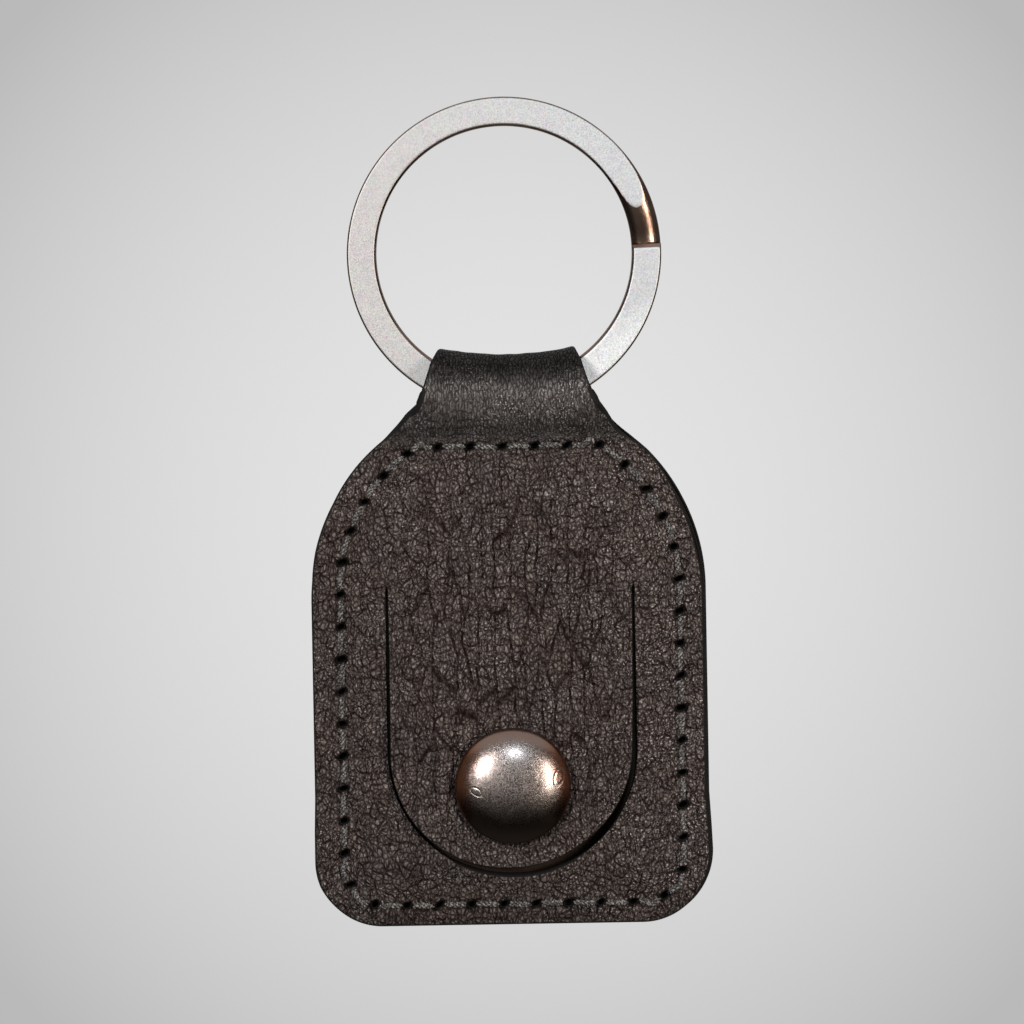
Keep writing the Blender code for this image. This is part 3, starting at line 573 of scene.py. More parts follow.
def groundSteel(faceLevel):
    # the flats are ground pale and satin; the round flanks are polished, and their dark copper colour is
    # partly painted reflection
    finish, tree, place = newFinish("groundSteel", {"Metallic": 1.0})
    split = addParts(tree, place)
    onFlat = addRange(
        tree, addMath(tree, "ABSOLUTE", split["Y"]), *(faceLevel / mm + depth for depth in steel["flat"]))
    speckle = addNoise(tree, place, *steel["speckle"])
    pale = addColour(tree, addRange(tree, speckle, *steel["speckle span"]), steel["dark"], steel["pale"])
    tint = addNoise(tree, place, *steel["tint noise"], output="Color")
    # painted reflection tint from warm on the left to cool on the right
    paintedTint = addColour(tree, addRange(tree, split["X"], *steel["reflection tint span"]), steel["warm"], steel["cool"])
    mixed = stretched(tree, addColour(tree, steel["tint"], pale, tint), paintedTint)
    # painted light on the ground face
    paintedSheen = addChain(tree, "ADD", *(
        addRange(tree, addVector(tree, "DOT_PRODUCT", place, towards), *span)
        for towards, span in steel["paintedSheen"]))
    flank = addColour(tree, addPatches(tree, place, *steel["cloud"]), steel["flank"], steel["pale flank"])
    satin = addRange(tree, speckle, *steel["satin"])
    scratches = addNoise(tree, stretched(tree, place, steel["scratch stretch"]), *steel["scratches"])
    rough = addBump(tree, speckle, steel["speckle depth"])
    return finished(finish, {
        "Base Color": addColour(tree, onFlat, flank, scaled(tree, mixed, paintedSheen)),
        "Roughness": addMix(tree, onFlat, steel["flank roughness"], satin),
        "Normal": addBump(tree, scratches, steel["scratch depth"], steel["scratch strength"], rough),
    })


capWear = {
    # right, up, half length, half width and slant, in millimetres and degrees
    "dents": (
        (-3.7, -0.45, 0.62, 0.34, -35),
        (4.62, 0.85, 0.85, 0.45, 75),
    ),
    "dent lip": 0.4,
    "dent highlight share": 0.16,
    "painted dent highlight": (0.75, 0.66, 0.60),
    "dent height": 0.016 * mm,
    "cloud": (0.7, 4, 0.6),
    "rim": (-1.1, 0.4),              # where the plating is worn through and painted reflection lies, in millimetres from the rim
    "rim wander": 1.6,
    "beside": (2.6, 5.0),
    # the rim's copper where the plating is worn through, with painted reflection in it: at top and bottom,
    # and beside
    "rim colour": (0.33, 0.225, 0.185),
    "rim colour beside": (0.36, 0.15, 0.085),
    "darkening": (-3.4, 1.0, 0.06, 1), # painted shade low down, from the low end up, in millimetres
    "low shade wander": 1.5,
    "painted low shade": (0.035, 0.027, 0.021),
    "grains": (11.0, 3, 0.65),
    "grain span": (0.35, 0.65),
    "dark": (0.225, 0.188, 0.172),
    "pale": (0.325, 0.283, 0.263),
    "scratches": ((12, 1.0), (50, 0.8), (86, 0.9), (118, 0.7), (150, 0.9)),   # degrees, how strong
    "scratch noise": ((1.3, 2), (0.60, 0.70)),
    "scratch stretch": (0.7, 1.0, 18.0),
    "scratch depth": 0.0018 * mm,
    "middle": (1.5, 5.2, 1.0, 0.45), # the scratches fade towards the rim
    "grit": (0.49, 0.60),
    "roughness": (0, 1, 0.16, 0.50),
    "pit depth": 0.0008 * mm,
}


def capDents(tree, offset):
    # the raised lip round each little dent, which also carries a painted highlight
    lips = []
    for right, up, halfLength, halfWidth, slant in capWear["dents"]:
        turn = math.radians(slant)
        there = addVector(tree, "SUBTRACT", offset, (right, 0, up))
        along = addVector(
            tree, "DOT_PRODUCT", there, (math.cos(turn) / halfLength, 0, math.sin(turn) / halfLength))
        across = addVector(
            tree, "DOT_PRODUCT", there, (-math.sin(turn) / halfWidth, 0, math.cos(turn) / halfWidth))
        flat = addNode(tree, "ShaderNodeCombineXYZ", {0: along, 1: across}).outputs[0]
        away = addMath(tree, "ABSOLUTE", addMath(tree, "SUBTRACT", addVector(tree, "LENGTH", flat), 1))
        lips.append(addRange(tree, away, 0, capWear["dent lip"], 1, 0, smooth=True))
    return addChain(tree, "MAXIMUM", *lips)


def capScratches(tree, place):
    heights = []
    for turn, strength in capWear["scratches"]:
        turned = addNode(
            tree, "ShaderNodeMapping", {"Vector": place, "Rotation": (0, math.radians(turn), 0)}).outputs[0]
        wave, span = capWear["scratch noise"]
        heights.append(addPatches(
            tree, stretched(tree, turned, capWear["scratch stretch"]), wave, span, (0, strength)))
    return addChain(tree, "MAXIMUM", *heights)


def wornNickel(middle, radius):
    # scuffed bright in the middle, copper showing at the rim with painted reflection there, painted shade low
    # down, fine scratches all over
    finish, tree, place = newFinish("wornNickel", {"Metallic": 1.0})
    offset = addVector(tree, "SUBTRACT", place, tuple(value / mm for value in middle))
    split = addParts(tree, offset)
    out = addVector(tree, "LENGTH", stretched(tree, offset, (1.0, 0.0, 1.0)))
    cloud = addNoise(tree, place, *capWear["cloud"])
    rim = addRange(
        tree, addMath(tree, "MULTIPLY_ADD", cloud, capWear["rim wander"], out),
        *(radius / mm + reach for reach in capWear["rim"]), smooth=True)
    # painted shade: darker towards the cap's low end
    darkening = addRange(
        tree, addMath(tree, "MULTIPLY_ADD", cloud, capWear["low shade wander"], split["Z"]),
        *capWear["darkening"], smooth=True)
    grains = addNoise(tree, place, *capWear["grains"])
    nickel = addColour(tree, addRange(tree, grains, *capWear["grain span"]), capWear["dark"], capWear["pale"])
    beside = addRange(tree, addMath(tree, "ABSOLUTE", split["X"]), *capWear["beside"], smooth=True)
    rimCopperAndReflection = addColour(tree, beside, capWear["rim colour"], capWear["rim colour beside"])
    wornAndShaded = addColour(tree, darkening, capWear["painted low shade"], addColour(tree, rim, nickel, rimCopperAndReflection))
    dents = capDents(tree, offset)
    scratches = capScratches(tree, place)
    haze = addMath(
        tree, "MULTIPLY", addMath(tree, "MAXIMUM", addRange(tree, grains, *capWear["grit"]), scratches),
        addRange(tree, out, *capWear["middle"], smooth=True))
    pits = addBump(tree, grains, capWear["pit depth"], 1, addBump(tree, dents, -capWear["dent height"]))
    return finished(finish, {
        # painted highlight on the dents' lips
        "Base Color": addColour(
            tree, addMath(tree, "MULTIPLY", dents, capWear["dent highlight share"]), wornAndShaded, capWear["painted dent highlight"]),
        "Roughness": addRange(tree, haze, *capWear["roughness"]),
        "Normal": addBump(tree, scratches, -capWear["scratch depth"], 1, pits),
    })


nickelWear = {
    "satin": (0.50, 0.48, 0.46),
    "spring": (0.42, 0.42, 0.43),
    "darkening": ((1.3, 4, 0.6), (0.3, 0.7)),
    "dark share": 0.62,
    "lines": (6.0, 3),
    "stretch": (1.0, 6.0, 1.0),
    "roughness": (0.3, 0.7, 0.22, 0.40),
    "depth": 0.010 * mm,
}


def plainNickel(name, colour):
    finish, tree, place = newFinish(name, {"Metallic": 1.0})
    lines = addNoise(tree, stretched(tree, place, nickelWear["stretch"]), *nickelWear["lines"])
    dark = tuple(value * nickelWear["dark share"] for value in colour)
    return finished(finish, {
        "Base Color": addColour(tree, addPatches(tree, place, *nickelWear["darkening"]), dark, colour),
        "Roughness": addRange(tree, lines, *nickelWear["roughness"]),
        "Normal": addBump(tree, lines, nickelWear["depth"]),
    })


# The leather: outline, seam, flap and how the strip runs over the ring

leather = {
    "thickness": 1.1 * mm,
    "lining": 1.0 * mm,
    "lining swell": 0.46 * mm,       # the real layers touch, so the middle one looks thicker
    "lining waves": 0.03 * mm,
    "lining wave size": 1.4 * mm,
    "layer gap": 0.25 * mm,
    "back rise": 0.64 * mm,
    "loop length": 11.4 * mm,
    "loop half width": 7.1 * mm,
    "neck half width": 7.6 * mm,
    "neck fillet": 9.0 * mm,
    "arch radius": 20.0 * mm,
    "half width": 19.8 * mm,
    "corner radius": 6.6 * mm,
    "layer shift": 0.2 * mm,
    "layer step": 1.0 * mm,
    "shank hole": 1.9 * mm,
    "hole steps": 16,
    "edge round": 0.36 * mm,
    "slit round": 0.15 * mm,
    "hole round": 0.15 * mm,
    "dark rim": 2.2 * mm,
    "side steps": 400,
    "corner steps": 40,
    "front mesh": 0.28 * mm,
    "back mesh": 0.50 * mm,
}

coinSeat = {
    "radius": 12.03 * mm,
    "above stud": 0.5 * mm,
    "round": 0.12 * mm,
    "steps": 120,
    "post hole": 1.5 * mm,
    "post hole round": 0.1 * mm,
}

seam = {
    "top": 5.65 * mm,                # below the loop's axis
    "inset": 2.6 * mm,
    "bottom inset": 2.1 * mm,
    "land": 0.6 * mm,
    "corner angle": 57,
    "arch steps": 24,
    "corner steps": 10,
    "pitch": 3.28 * mm,
    "first": 2.75 * mm,
    "hole half length": 0.42 * mm,
    "hole half width": 0.26 * mm,
    "hole steps": 12,
    "hole slant": 22,                # the holes point up to the right by about this many degrees
    # how much the holes differ, and a rhythm for it
    "slant sway": (12, 2.7),
    "length sway": (0.14, 1.9),
    "width sway": (0.12, 4.1),
    "ramp": 3.9 * mm,
    "pull": 0.16 * mm,               # how deep the thread pulls the leather in at a hole
    "pull reach": (0.8 * mm, 0.7 * mm),
    "groove": 0.10 * mm,
    "groove width": 0.45 * mm,
    "groove share": 0.6,             # of the way to the next hole
    # painted shade round each stitch hole: how far it reaches along and across the hole
    "hole shade reach": (0.72 * mm, 0.42 * mm),
    "hole shade power": 4,                 # how suddenly the painted shade round a hole ends
    "reach": 2.2 * mm,
}

flap = {
    "window half width": 12.55 * mm,
    "window to bottom": 5.1 * mm,
    "side gap": 0.16 * mm,
    "side taper": 0.17 * mm,         # how much wider the slit is at its lower end
    "end gap": 0.8 * mm,
    "lean": 0.62 * mm,               # the tongue's end lies a little to one side in its slit
    "lean power": 3,
    "slit tip": 0.5 * mm,
    "hinge gap": 0.3 * mm,
    "rise": 1.29 * mm,
    "pressed": 0.28 * mm,            # how far the cap presses its leather in
    "pressed radius": 5.9 * mm,
    "pressed edge": 0.7 * mm,
    "bend": 2.6 * mm,
}

tunnel = {
    "edge height": 3.38 * mm,
    "sag": 0.73 * mm,
    "half depth": 3.1569 * mm,
    "edge half depth": 3.7784 * mm,
    "flare power": 4,
    "flare end": 2.3 * mm,           # below the loop's axis
    "flare fade": 0.9 * mm,
    "flare reach": 1.6 * mm,         # past the neck's half width, so the swung ring clears the leather
}

loopTopZ = loopAxisZ + tunnel["edge height"] + leather["thickness"]
loopLength = leather["loop length"]
archOver = leather["arch radius"] - leather["half width"]
seamTopZ = loopAxisZ - seam["top"]
taperZ = seamTopZ + seam["land"]
archZ = seamTopZ - (leather["arch radius"] - seam["inset"]) * math.sin(math.radians(seam["corner angle"]))
filletReach = leather["neck half width"] + leather["neck fillet"]
filletRise = math.sqrt((leather["arch radius"] + leather["neck fillet"]) ** 2 - (filletReach + archOver) ** 2)
cornerX = leather["half width"] - leather["corner radius"]
cornerZ = bottomZ + leather["corner radius"]
pinch = leather["lining"] / 2 + leather["layer gap"]
frontRise = panelForward - leather["thickness"] - pinch
windowZ = bottomZ + flap["window to bottom"] + flap["window half width"]
flapLevelZ = snapZ + capRadius


def halfWidth(z, arch):
    filletZ = arch + filletRise
    meetingZ = arch + filletRise * leather["arch radius"] / (leather["arch radius"] + leather["neck fillet"])
    if z >= filletZ:
        share = min((z - filletZ) / (loopTopZ - filletZ), 1)
        return leather["neck half width"] + (leather["loop half width"] - leather["neck half width"]) * share
    if z >= meetingZ:
        return filletReach - math.sqrt(leather["neck fillet"] ** 2 - (z - filletZ) ** 2)
    if z >= arch:
        return math.sqrt(leather["arch radius"] ** 2 - (z - arch) ** 2) - archOver
    return leather["half width"]


def sideLine(topZ, arch):
    # the right edge of a layer from topZ down to the middle of its bottom
    heights = np.linspace(topZ, cornerZ, leather["side steps"])
    side = [(halfWidth(z, arch), z) for z in heights]
    corner = arc((cornerX, cornerZ), (leather["corner radius"],) * 2, 0, -90, leather["corner steps"])
    return side + corner[1:] + [(0, bottomZ)]


# how far each layer is cut outside its even outline at some heights, in millimetres
handCut = {
    "heights": (
        -79.5, -77.0, -74.0, -71.5, -68.0, -46.0, -43.0, -38.0,
        -33.0, -31.0, -30.1, -29.3, -28.5, -26.9, -25.5, -23.0),
    "front": {
        "left": (0, 0.20, 0.20, 0.20, 0.10, 0.15, 0.35, 0.50, 1.0, 1.25, 1.15, 1.05, 0.40, 0.40, 0.20, -0.35),
        "right": (0, 0.10, 0.30, 0.20, 0, 0, 0, 0.30, 1.30, 1.10, 1.30, 1.38, 1.12, 0.85, 0.50, -0.20),
    },
    "rear": {
        "left": (0, 0.10, 0.10, 0.10, 0.05, 0, 0, 0, 0, 0.20, 0.35, 0.05, -0.60, -0.45, -0.20, -0.35),
        "right": (0, 0.10, 0.30, 0.20, 0, 0, 0, 0, 0.10, -0.05, 0.10, 0.10, -0.10, -0.15, -0.10, -0.20),
    },
}


def cutOut(z, layer, side):
    return np.interp(z / mm, handCut["heights"], handCut[layer][side]) * mm


def seamLine(inset, bottomInset):
    radius = leather["arch radius"] - inset
    start = math.degrees(math.asin((seamTopZ + seam["inset"] - inset - archZ) / radius))
    right = arc((-archOver, archZ), (radius, radius), start, 0, seam["arch steps"])
    radii = (leather["corner radius"] - inset, leather["corner radius"] - bottomInset)
    right += arc((cornerX, cornerZ), radii, 0, -90, seam["corner steps"])
    return [(0, right[0][1])] + right + mirrored(right)


def insideDistance(x, z):
    across = np.abs(x)
    side = leather["half width"] - across
    arched = leather["arch radius"] - np.hypot(across + archOver, z - archZ)
    inner = np.minimum(np.where(z > archZ, arched, side), z - bottomZ)
    inner = np.minimum(inner, seamTopZ + seam["inset"] - z)
    cornered = leather["corner radius"] - np.hypot(across - cornerX, z - cornerZ)
    return np.where((across > cornerX) & (z < cornerZ), cornered, inner)


def seamHoles():
    # middle and direction of every stitch hole, evenly spaced from the top middle
    line = np.array(seamLine(seam["inset"], seam["bottom inset"]))
    line = np.vstack([line, line[:1]])
    steps = np.diff(line, axis=0)
    lengths = np.linalg.norm(steps, axis=1)
    run = np.concatenate([[0], np.cumsum(lengths)])
    count = round(run[-1] / seam["pitch"])
    holes = []
    for number in range(count):
        stop = (seam["first"] + run[-1] * number / count) % run[-1]
        leg = int(np.searchsorted(run, stop, side="right")) - 1
        along = steps[leg] / lengths[leg]
        holes.append((line[leg] + along * (stop - run[leg]), along))
    return holes


def holeAxes(number):
    # the two axes of one hole, no two holes quite alike
    slantSway, slantRhythm = seam["slant sway"]
    lengthSway, lengthRhythm = seam["length sway"]
    widthSway, widthRhythm = seam["width sway"]
    slant = math.radians(seam["hole slant"] + slantSway * math.sin(number * slantRhythm))
    along, across = (math.cos(slant), math.sin(slant)), (-math.sin(slant), math.cos(slant))
    long = 1 + lengthSway * math.sin(number * lengthRhythm)
    wide = 1 + widthSway * math.sin(number * widthRhythm + 1)
    return np.array(along) * long, np.array(across) * wide


def holeLoops(holes):
    loops = []
    for number, (middle, _) in enumerate(holes):
        along, across = holeAxes(number)
        loops.append([
            tuple(middle + along * seam["hole half length"] * math.cos(turn)
                  + across * seam["hole half width"] * math.sin(turn))
            for turn in np.linspace(0, math.tau, seam["hole steps"], endpoint=False)])
    return loops


def sheetForward(x, z, rise):
    # inner face of the front or back sheet, as a distance from the middle of the case
    share = smoothShare((z - taperZ) / (loopAxisZ - taperZ))
    besideRing = smoothShare((z - loopAxisZ + tunnel["flare end"]) / tunnel["flare fade"])
    reach = leather["neck half width"] + tunnel["flare reach"] * besideRing
    neck = pinch + (tunnelDepth(x, reach) - pinch) * share
    body = pinch + rise * smoothShare((insideDistance(x, z) - seam["inset"] - seam["land"]) / seam["ramp"])
    return np.where(z > taperZ, neck, body)


def tunnelDepth(x, reach=leather["neck half width"]):
    # the leather flares outwards from the middle of the loop as far as that reach
    across = np.clip(x, -reach, reach) / leather["loop half width"]
    flare = tunnel["edge half depth"] - tunnel["half depth"]
    return tunnel["half depth"] + flare * across ** tunnel["flare power"]


def tunnelRise(x):
    return tunnel["edge height"] - tunnel["sag"] * (1 - (x / leather["loop half width"]) ** 2)


def tongueLean(z):
    reach = hingeZ - (windowZ - flap["window half width"])
    return -flap["lean"] * np.clip((hingeZ - z) / reach, 0, 1) ** flap["lean power"]


def slitTaper(z):
    share = np.clip((hingeZ - z) / (hingeZ - windowZ), 0, 1)
    return 1 - flap["side taper"] / flap["window half width"] * share


def tongueLine(halfSide, endRadius, topZ):
    # anticlockwise from the top left, down round the end and up to the top right
    straight = round((topZ - windowZ) / leather["front mesh"])
    heights = np.linspace(topZ, windowZ, straight + 1)[:-1]
    steps = round(math.pi * endRadius / leather["front mesh"] / 2) * 2
    end = arc((0, windowZ), (halfSide, endRadius), -180, 0, steps)
    return [(-halfSide, z) for z in heights] + end + [(halfSide, z) for z in heights[::-1]]


slitTopZ = hingeZ + flap["hinge gap"] / 2
tongueHalf = flap["window half width"] - flap["side gap"]
tongueEnd = flap["window half width"] - flap["end gap"]
slitOuter = tongueLine(flap["window half width"], flap["window half width"], slitTopZ)
slitInner = [(x * slitTaper(z) + tongueLean(z), z) for x, z in tongueLine(tongueHalf, tongueEnd, slitTopZ)]
slitMiddle = [
    ((outerX + innerX) / 2, (outerZ + innerZ) / 2)
    for (outerX, outerZ), (innerX, innerZ) in zip(spaced(slitOuter, mm), spaced(slitInner, mm))]


# A plan of leather and its two skins

planning = {
    "edge rows": (0.18, 0.5, 1.0),   # rows of corners beside each edge, as shares of its rounding
    "room": 0.55,                    # how far loose corners keep from them, as a share of their spacing
    "weld": 0.002,                   # millimetres
    "least": 0.3,                    # how thick a rounded edge is on its outside, as a share
    "thin": 0.86,                    # where it is thinner than this share, it has the cut edge's finish
    "inner strip": (0, 0, 20),       # the inner skin's pattern lies this far off, in millimetres
    "slope step": 0.05 * mm,
}


def planOf(edges, guides, bands, isLeather):
    # edges: (loop, rounding), the first one the outline; guides: open lines that stay edges of the mesh;
    # bands: (spacing, where it begins, where it ends)
    corners = []
    links = []

    def addLine(line, closed):
        first = len(corners)
        corners.extend(line)
        last = len(corners) - 1
        links.extend((index, index + 1) for index in range(first, last))
        if closed:
            links.append((last, first))

    for loop, rounding in edges:
        addLine(loop, True)
        for share in planning["edge rows"]:
            addLine(movedIn(loop, rounding * share), True)
    for line in guides:
        addLine(line, False)
    taken = kdtree.KDTree(len(corners))
    for index, (x, v) in enumerate(corners):
        taken.insert((x, v, 0), index)
    taken.balance()
    low, high = np.min(corners, axis=0), np.max(corners, axis=0)
    loose = []
    for spacing, begin, end in bands:
        rows = np.arange(max(low[1], begin), min(high[1], end), spacing * math.sqrt(3) / 2)
        for number, v in enumerate(rows):
            for x in np.arange(low[0] + spacing / 2 * (number % 2), high[0], spacing):
                if taken.find((x, v, 0))[2] > spacing * planning["room"]:
                    loose.append((x, v))
    loose = np.array(loose)
    loose = loose[isLeather(loose)]
    points = [Vector(point) / mm for point in corners + [tuple(point) for point in loose]]
    flat, _, triangles, *_ = delaunay_2d_cdt(points, links, [], 1, planning["weld"])
    plan = np.array([tuple(point) for point in flat]) * mm
    faces = np.array(triangles)
    return plan, faces[isLeather(plan[faces].mean(axis=1))]


def leatherTest(edges):
    # is a point inside the outline and outside every hole
    def isLeather(points):
        within = insideLoop(points, edges[0][0])
        for loop, _ in edges[1:]:
            low, high = np.min(loop, axis=0), np.max(loop, axis=0)
            near = np.flatnonzero(np.all((points > low) & (points < high), axis=1))
            within[near] &= ~insideLoop(points[near], loop)
        return within
    return isLeather


def edgeProfile(plan, edges, least=planning["least"]):
    # least at an open edge, 1 where the layer has its whole thickness
    profile = np.ones(len(plan))
    for loop, rounding in edges:
        line = np.array(loop)
        for start, end in zip(line, np.roll(line, -1, axis=0)):
            low, high = np.minimum(start, end) - rounding, np.maximum(start, end) + rounding
            near = np.flatnonzero(np.all((plan > low) & (plan < high), axis=1))
            leg = end - start
            share = np.clip((plan[near] - start) @ leg / (leg @ leg), 0, 1)
            away = np.linalg.norm(plan[near] - start - share[:, None] * leg, axis=1) / rounding
            rounded = least + (1 - least) * np.sqrt(1 - (1 - np.minimum(away, 1)) ** 2)
            profile[near] = np.minimum(profile[near], rounded)
    return profile


def skinNormals(corners, faces):
    normals = np.zeros(corners.shape)
    legs = np.cross(corners[faces[:, 1]] - corners[faces[:, 0]], corners[faces[:, 2]] - corners[faces[:, 0]])
    for side in range(3):
        np.add.at(normals, faces[:, side], legs)
    return unit(normals)


def twoSkins(middle, normal, outer, inner, faces):
    skins = (middle + normal * outer[:, None], middle - normal * inner[:, None])
    return skins, (skinNormals(skins[0], faces), skinNormals(skins[1], faces[:, ::-1]))


def openWalls(faces, count):
    # a wall between the two skins along every edge that has a triangle on one side only
    pairs = np.concatenate([faces[:, [0, 1]], faces[:, [1, 2]], faces[:, [2, 0]]]).tolist()
    known = {tuple(pair) for pair in pairs}
    return np.array([(b, a, a + count, b + count) for a, b in pairs if (b, a) not in known])


def layerMesh(skins, normals, faces, profile, plan, shades):
    # two skins with walls along every open edge; the normals come from the uncut layer
    used = np.unique(faces)
    count = len(used)
    place = np.full(len(plan), -1)
    place[used] = np.arange(count)
    flat = place[faces]
    walls = openWalls(flat, count)
    corners = np.concatenate([skin[used] for skin in skins])
    mesh = bpy.data.meshes.new("layer")
    mesh.from_pydata(corners.tolist(), [], flat.tolist() + (flat[:, ::-1] + count).tolist() + walls.tolist())
    strip = np.column_stack([plan[used] / mm, np.zeros(count)])
    marks = mesh.attributes.new("strip", "FLOAT_VECTOR", "POINT")
    marks.data.foreach_set("vector", np.concatenate([strip, strip + planning["inner strip"]]).ravel())
    dark = mesh.attributes.new("nearHole", "FLOAT", "POINT")
    dark.data.foreach_set("value", np.concatenate([shade[used] for shade in shades]))
    thin = profile[faces].mean(axis=1) < planning["thin"]
    kinds = np.concatenate([np.where(thin, 2, 0), np.where(thin, 2, 1), np.full(len(walls), 2)])
    mesh.polygons.foreach_set("material_index", kinds.astype(np.int32))
    mesh.shade_smooth()
    across, down = (corners[walls[:, corner]] - corners[walls[:, 0]] for corner in (1, 2))
    mesh.normals_split_custom_set(np.concatenate([
        normals[0][faces].reshape(-1, 3),
        normals[1][faces[:, ::-1]].reshape(-1, 3),
        np.repeat(unit(np.cross(across, down)), walls.shape[1], axis=0)]).tolist())
    return mesh


def wander(points, size, seed, stretch=(1, 1, 1), apart=(1, 2.3, 0.7)):
    # smooth noise from -1 to 1 that changes over that size, another one for each seed
    shift = Vector(apart) * seed
    scale = np.array(stretch) / size
    return np.array([noise.noise(Vector(point) + shift) for point in points * scale])


def stripPlace(x, v):
    # middle of the strip: v is 0 where the front meets the loop and falls towards the front's bottom
    half = leather["thickness"] / 2
    frontZ = loopAxisZ + v
    onFlap = insideLoop(np.stack([x, frontZ], axis=1), slitMiddle)
    tongue = pinch + frontRise + flap["rise"] * smoothShare((hingeZ - frontZ) / (hingeZ - flapLevelZ))
    front = np.where(onFlap, tongue, sheetForward(x, frontZ, frontRise)) + half
    turn = math.pi * v / loopLength
    backZ = loopAxisZ + loopLength - v
    back = -sheetForward(x, backZ, leather["back rise"]) - half
    over = (tunnelDepth(x) + half) * np.cos(turn)
    overZ = loopAxisZ + (tunnelRise(x) + half) * np.sin(turn)
    inFront, behind = v <= 0, v >= loopLength
    forward = np.where(inFront, front, np.where(behind, back, over))
    z = np.where(inFront, frontZ, np.where(behind, backZ, overZ))
    return np.stack([x, -forward, z], axis=1)


def flatPlace(x, z):
    return np.stack([x, 0 * x, z], axis=1)


def surfaceOf(plan, placeOf):
    x, v = plan[:, 0], plan[:, 1]
    step = planning["slope step"]
    across = placeOf(x + step, v) - placeOf(x - step, v)
    along = placeOf(x, v + step) - placeOf(x, v - step)
    return placeOf(x, v), unit(np.cross(across, along))


def seamPull(points, holes):
    # how deep the seam pulls the outer skin in, round its holes and along its line
    depth = np.zeros(len(points))
    flat = points[:, [0, 2]]
    length, width = seam["pull reach"]
    for middle, along in holes:
        near = np.flatnonzero(np.abs(flat - middle).max(axis=1) < seam["reach"])
        offset = flat[near] - middle
        run = offset @ along
        out = offset @ np.array((-along[1], along[0]))
        dimple = seam["pull"] * np.exp(-(run / length) ** 2 - (out / width) ** 2)
        groove = seam["groove"] * np.exp(-(out / seam["groove width"]) ** 2)
        groove *= np.abs(run) < seam["groove share"] * seam["pitch"]
        depth[near] = np.maximum(depth[near], np.maximum(dimple, groove))
    return depth


def nearHoles(points, holes):
    # painted shade in and round a stitch hole: 1 in the middle of a stitch hole, falling to nothing beside it
    shade = np.zeros(len(points))
    flat = points[:, [0, 2]]
    length, width = seam["hole shade reach"]
    power = seam["hole shade power"]
    for number, (middle, _) in enumerate(holes):
        along, across = holeAxes(number)
        near = np.flatnonzero(np.abs(flat - middle).max(axis=1) < seam["reach"])
        offset = flat[near] - middle
        run = offset @ along / (along @ along) / length
        out = offset @ across / (across @ across) / width
        shade[near] = np.maximum(shade[near], np.exp(-run ** power - out ** power))
    return shade


# darker towards the outline
def darkenedRim(plan, outline):
    return 1 - edgeProfile(plan, [(outline, leather["dark rim"])])


creases = {
    "broad": 0.075 * mm,
    "broad size": 7.0 * mm,
    "broad seed": 3,
    # how deep the finish's creases are in the mesh, and how wide in millimetres
    "sizes": {
        "coarse": (0.075 * mm, 0.36),
        "long": (0.075 * mm, 0.36),
        "middle": (0.045 * mm, 0.34),
    },
    "loop folds": 0.05 * mm,
    "loop fold size": 1.3 * mm,
    "loop fold stretch": (1.3, 0.4, 0.25),
    "loop fold seed": 23,
    "loop fold span": (1.0 * mm, 2.0 * mm),   # they begin above the seam, and how soon they are whole
    "lining seed": 31,
}


def grainTree():
    tree, size = newTree("grainRelief", {})
    place = addNode(tree, "GeometryNodeInputPosition").outputs[0]
    lines = grainPattern(tree, place)
    relief = 0
    for (name, (depth, width)), strength in zip(creases["sizes"].items(), grainMasks(tree, place)):
        valley = addMath(tree, "MULTIPLY", addRange(tree, lines[name], 0, width, 1, 0, smooth=True), strength)
        relief = addMath(tree, "MAXIMUM", relief, addMath(tree, "MULTIPLY", valley, depth / mm))
    answer = addNode(tree, "ShaderNodeCombineXYZ", {0: relief}).outputs[0]
    placed = addNode(
        tree, "GeometryNodeSetPosition", {"Geometry": size["Geometry"], "Position": answer}).outputs[0]
    addNode(tree, "NodeGroupOutput", {"Geometry": placed})
    return tree


def creaseDepth(plan):
    # how deep the finish's own creases are at each point of the strip
    base = bpy.data.meshes.new("grainBase")
    base.from_pydata([(x / mm, v / mm, 0) for x, v in plan], [], [])
    mesh = madeByNodes("grainProbe", base, grainTree(), {})
    depths = np.empty(len(plan) * 3)
    mesh.data.vertices.foreach_get("co", depths)
    bpy.data.objects.remove(mesh)
    return depths[::3] * mm


def creased(points, plan):
    broad = creases["broad"] * wander(points, creases["broad size"], creases["broad seed"])
    begin, whole = creases["loop fold span"]
    onLoop = smoothShare((points[:, 2] - seamTopZ - begin) / whole)
    folds = creases["loop folds"] * wander(
        points, creases["loop fold size"], creases["loop fold seed"], creases["loop fold stretch"])
    return broad + folds * onLoop - creaseDepth(plan)


def pressedByCap(points):
    away = np.hypot(points[:, 0], points[:, 2] - snapZ)
    front = points[:, 1] < -panelForward
    return flap["pressed"] * (1 - smoothShare((away - flap["pressed radius"]) / flap["pressed edge"])) * front


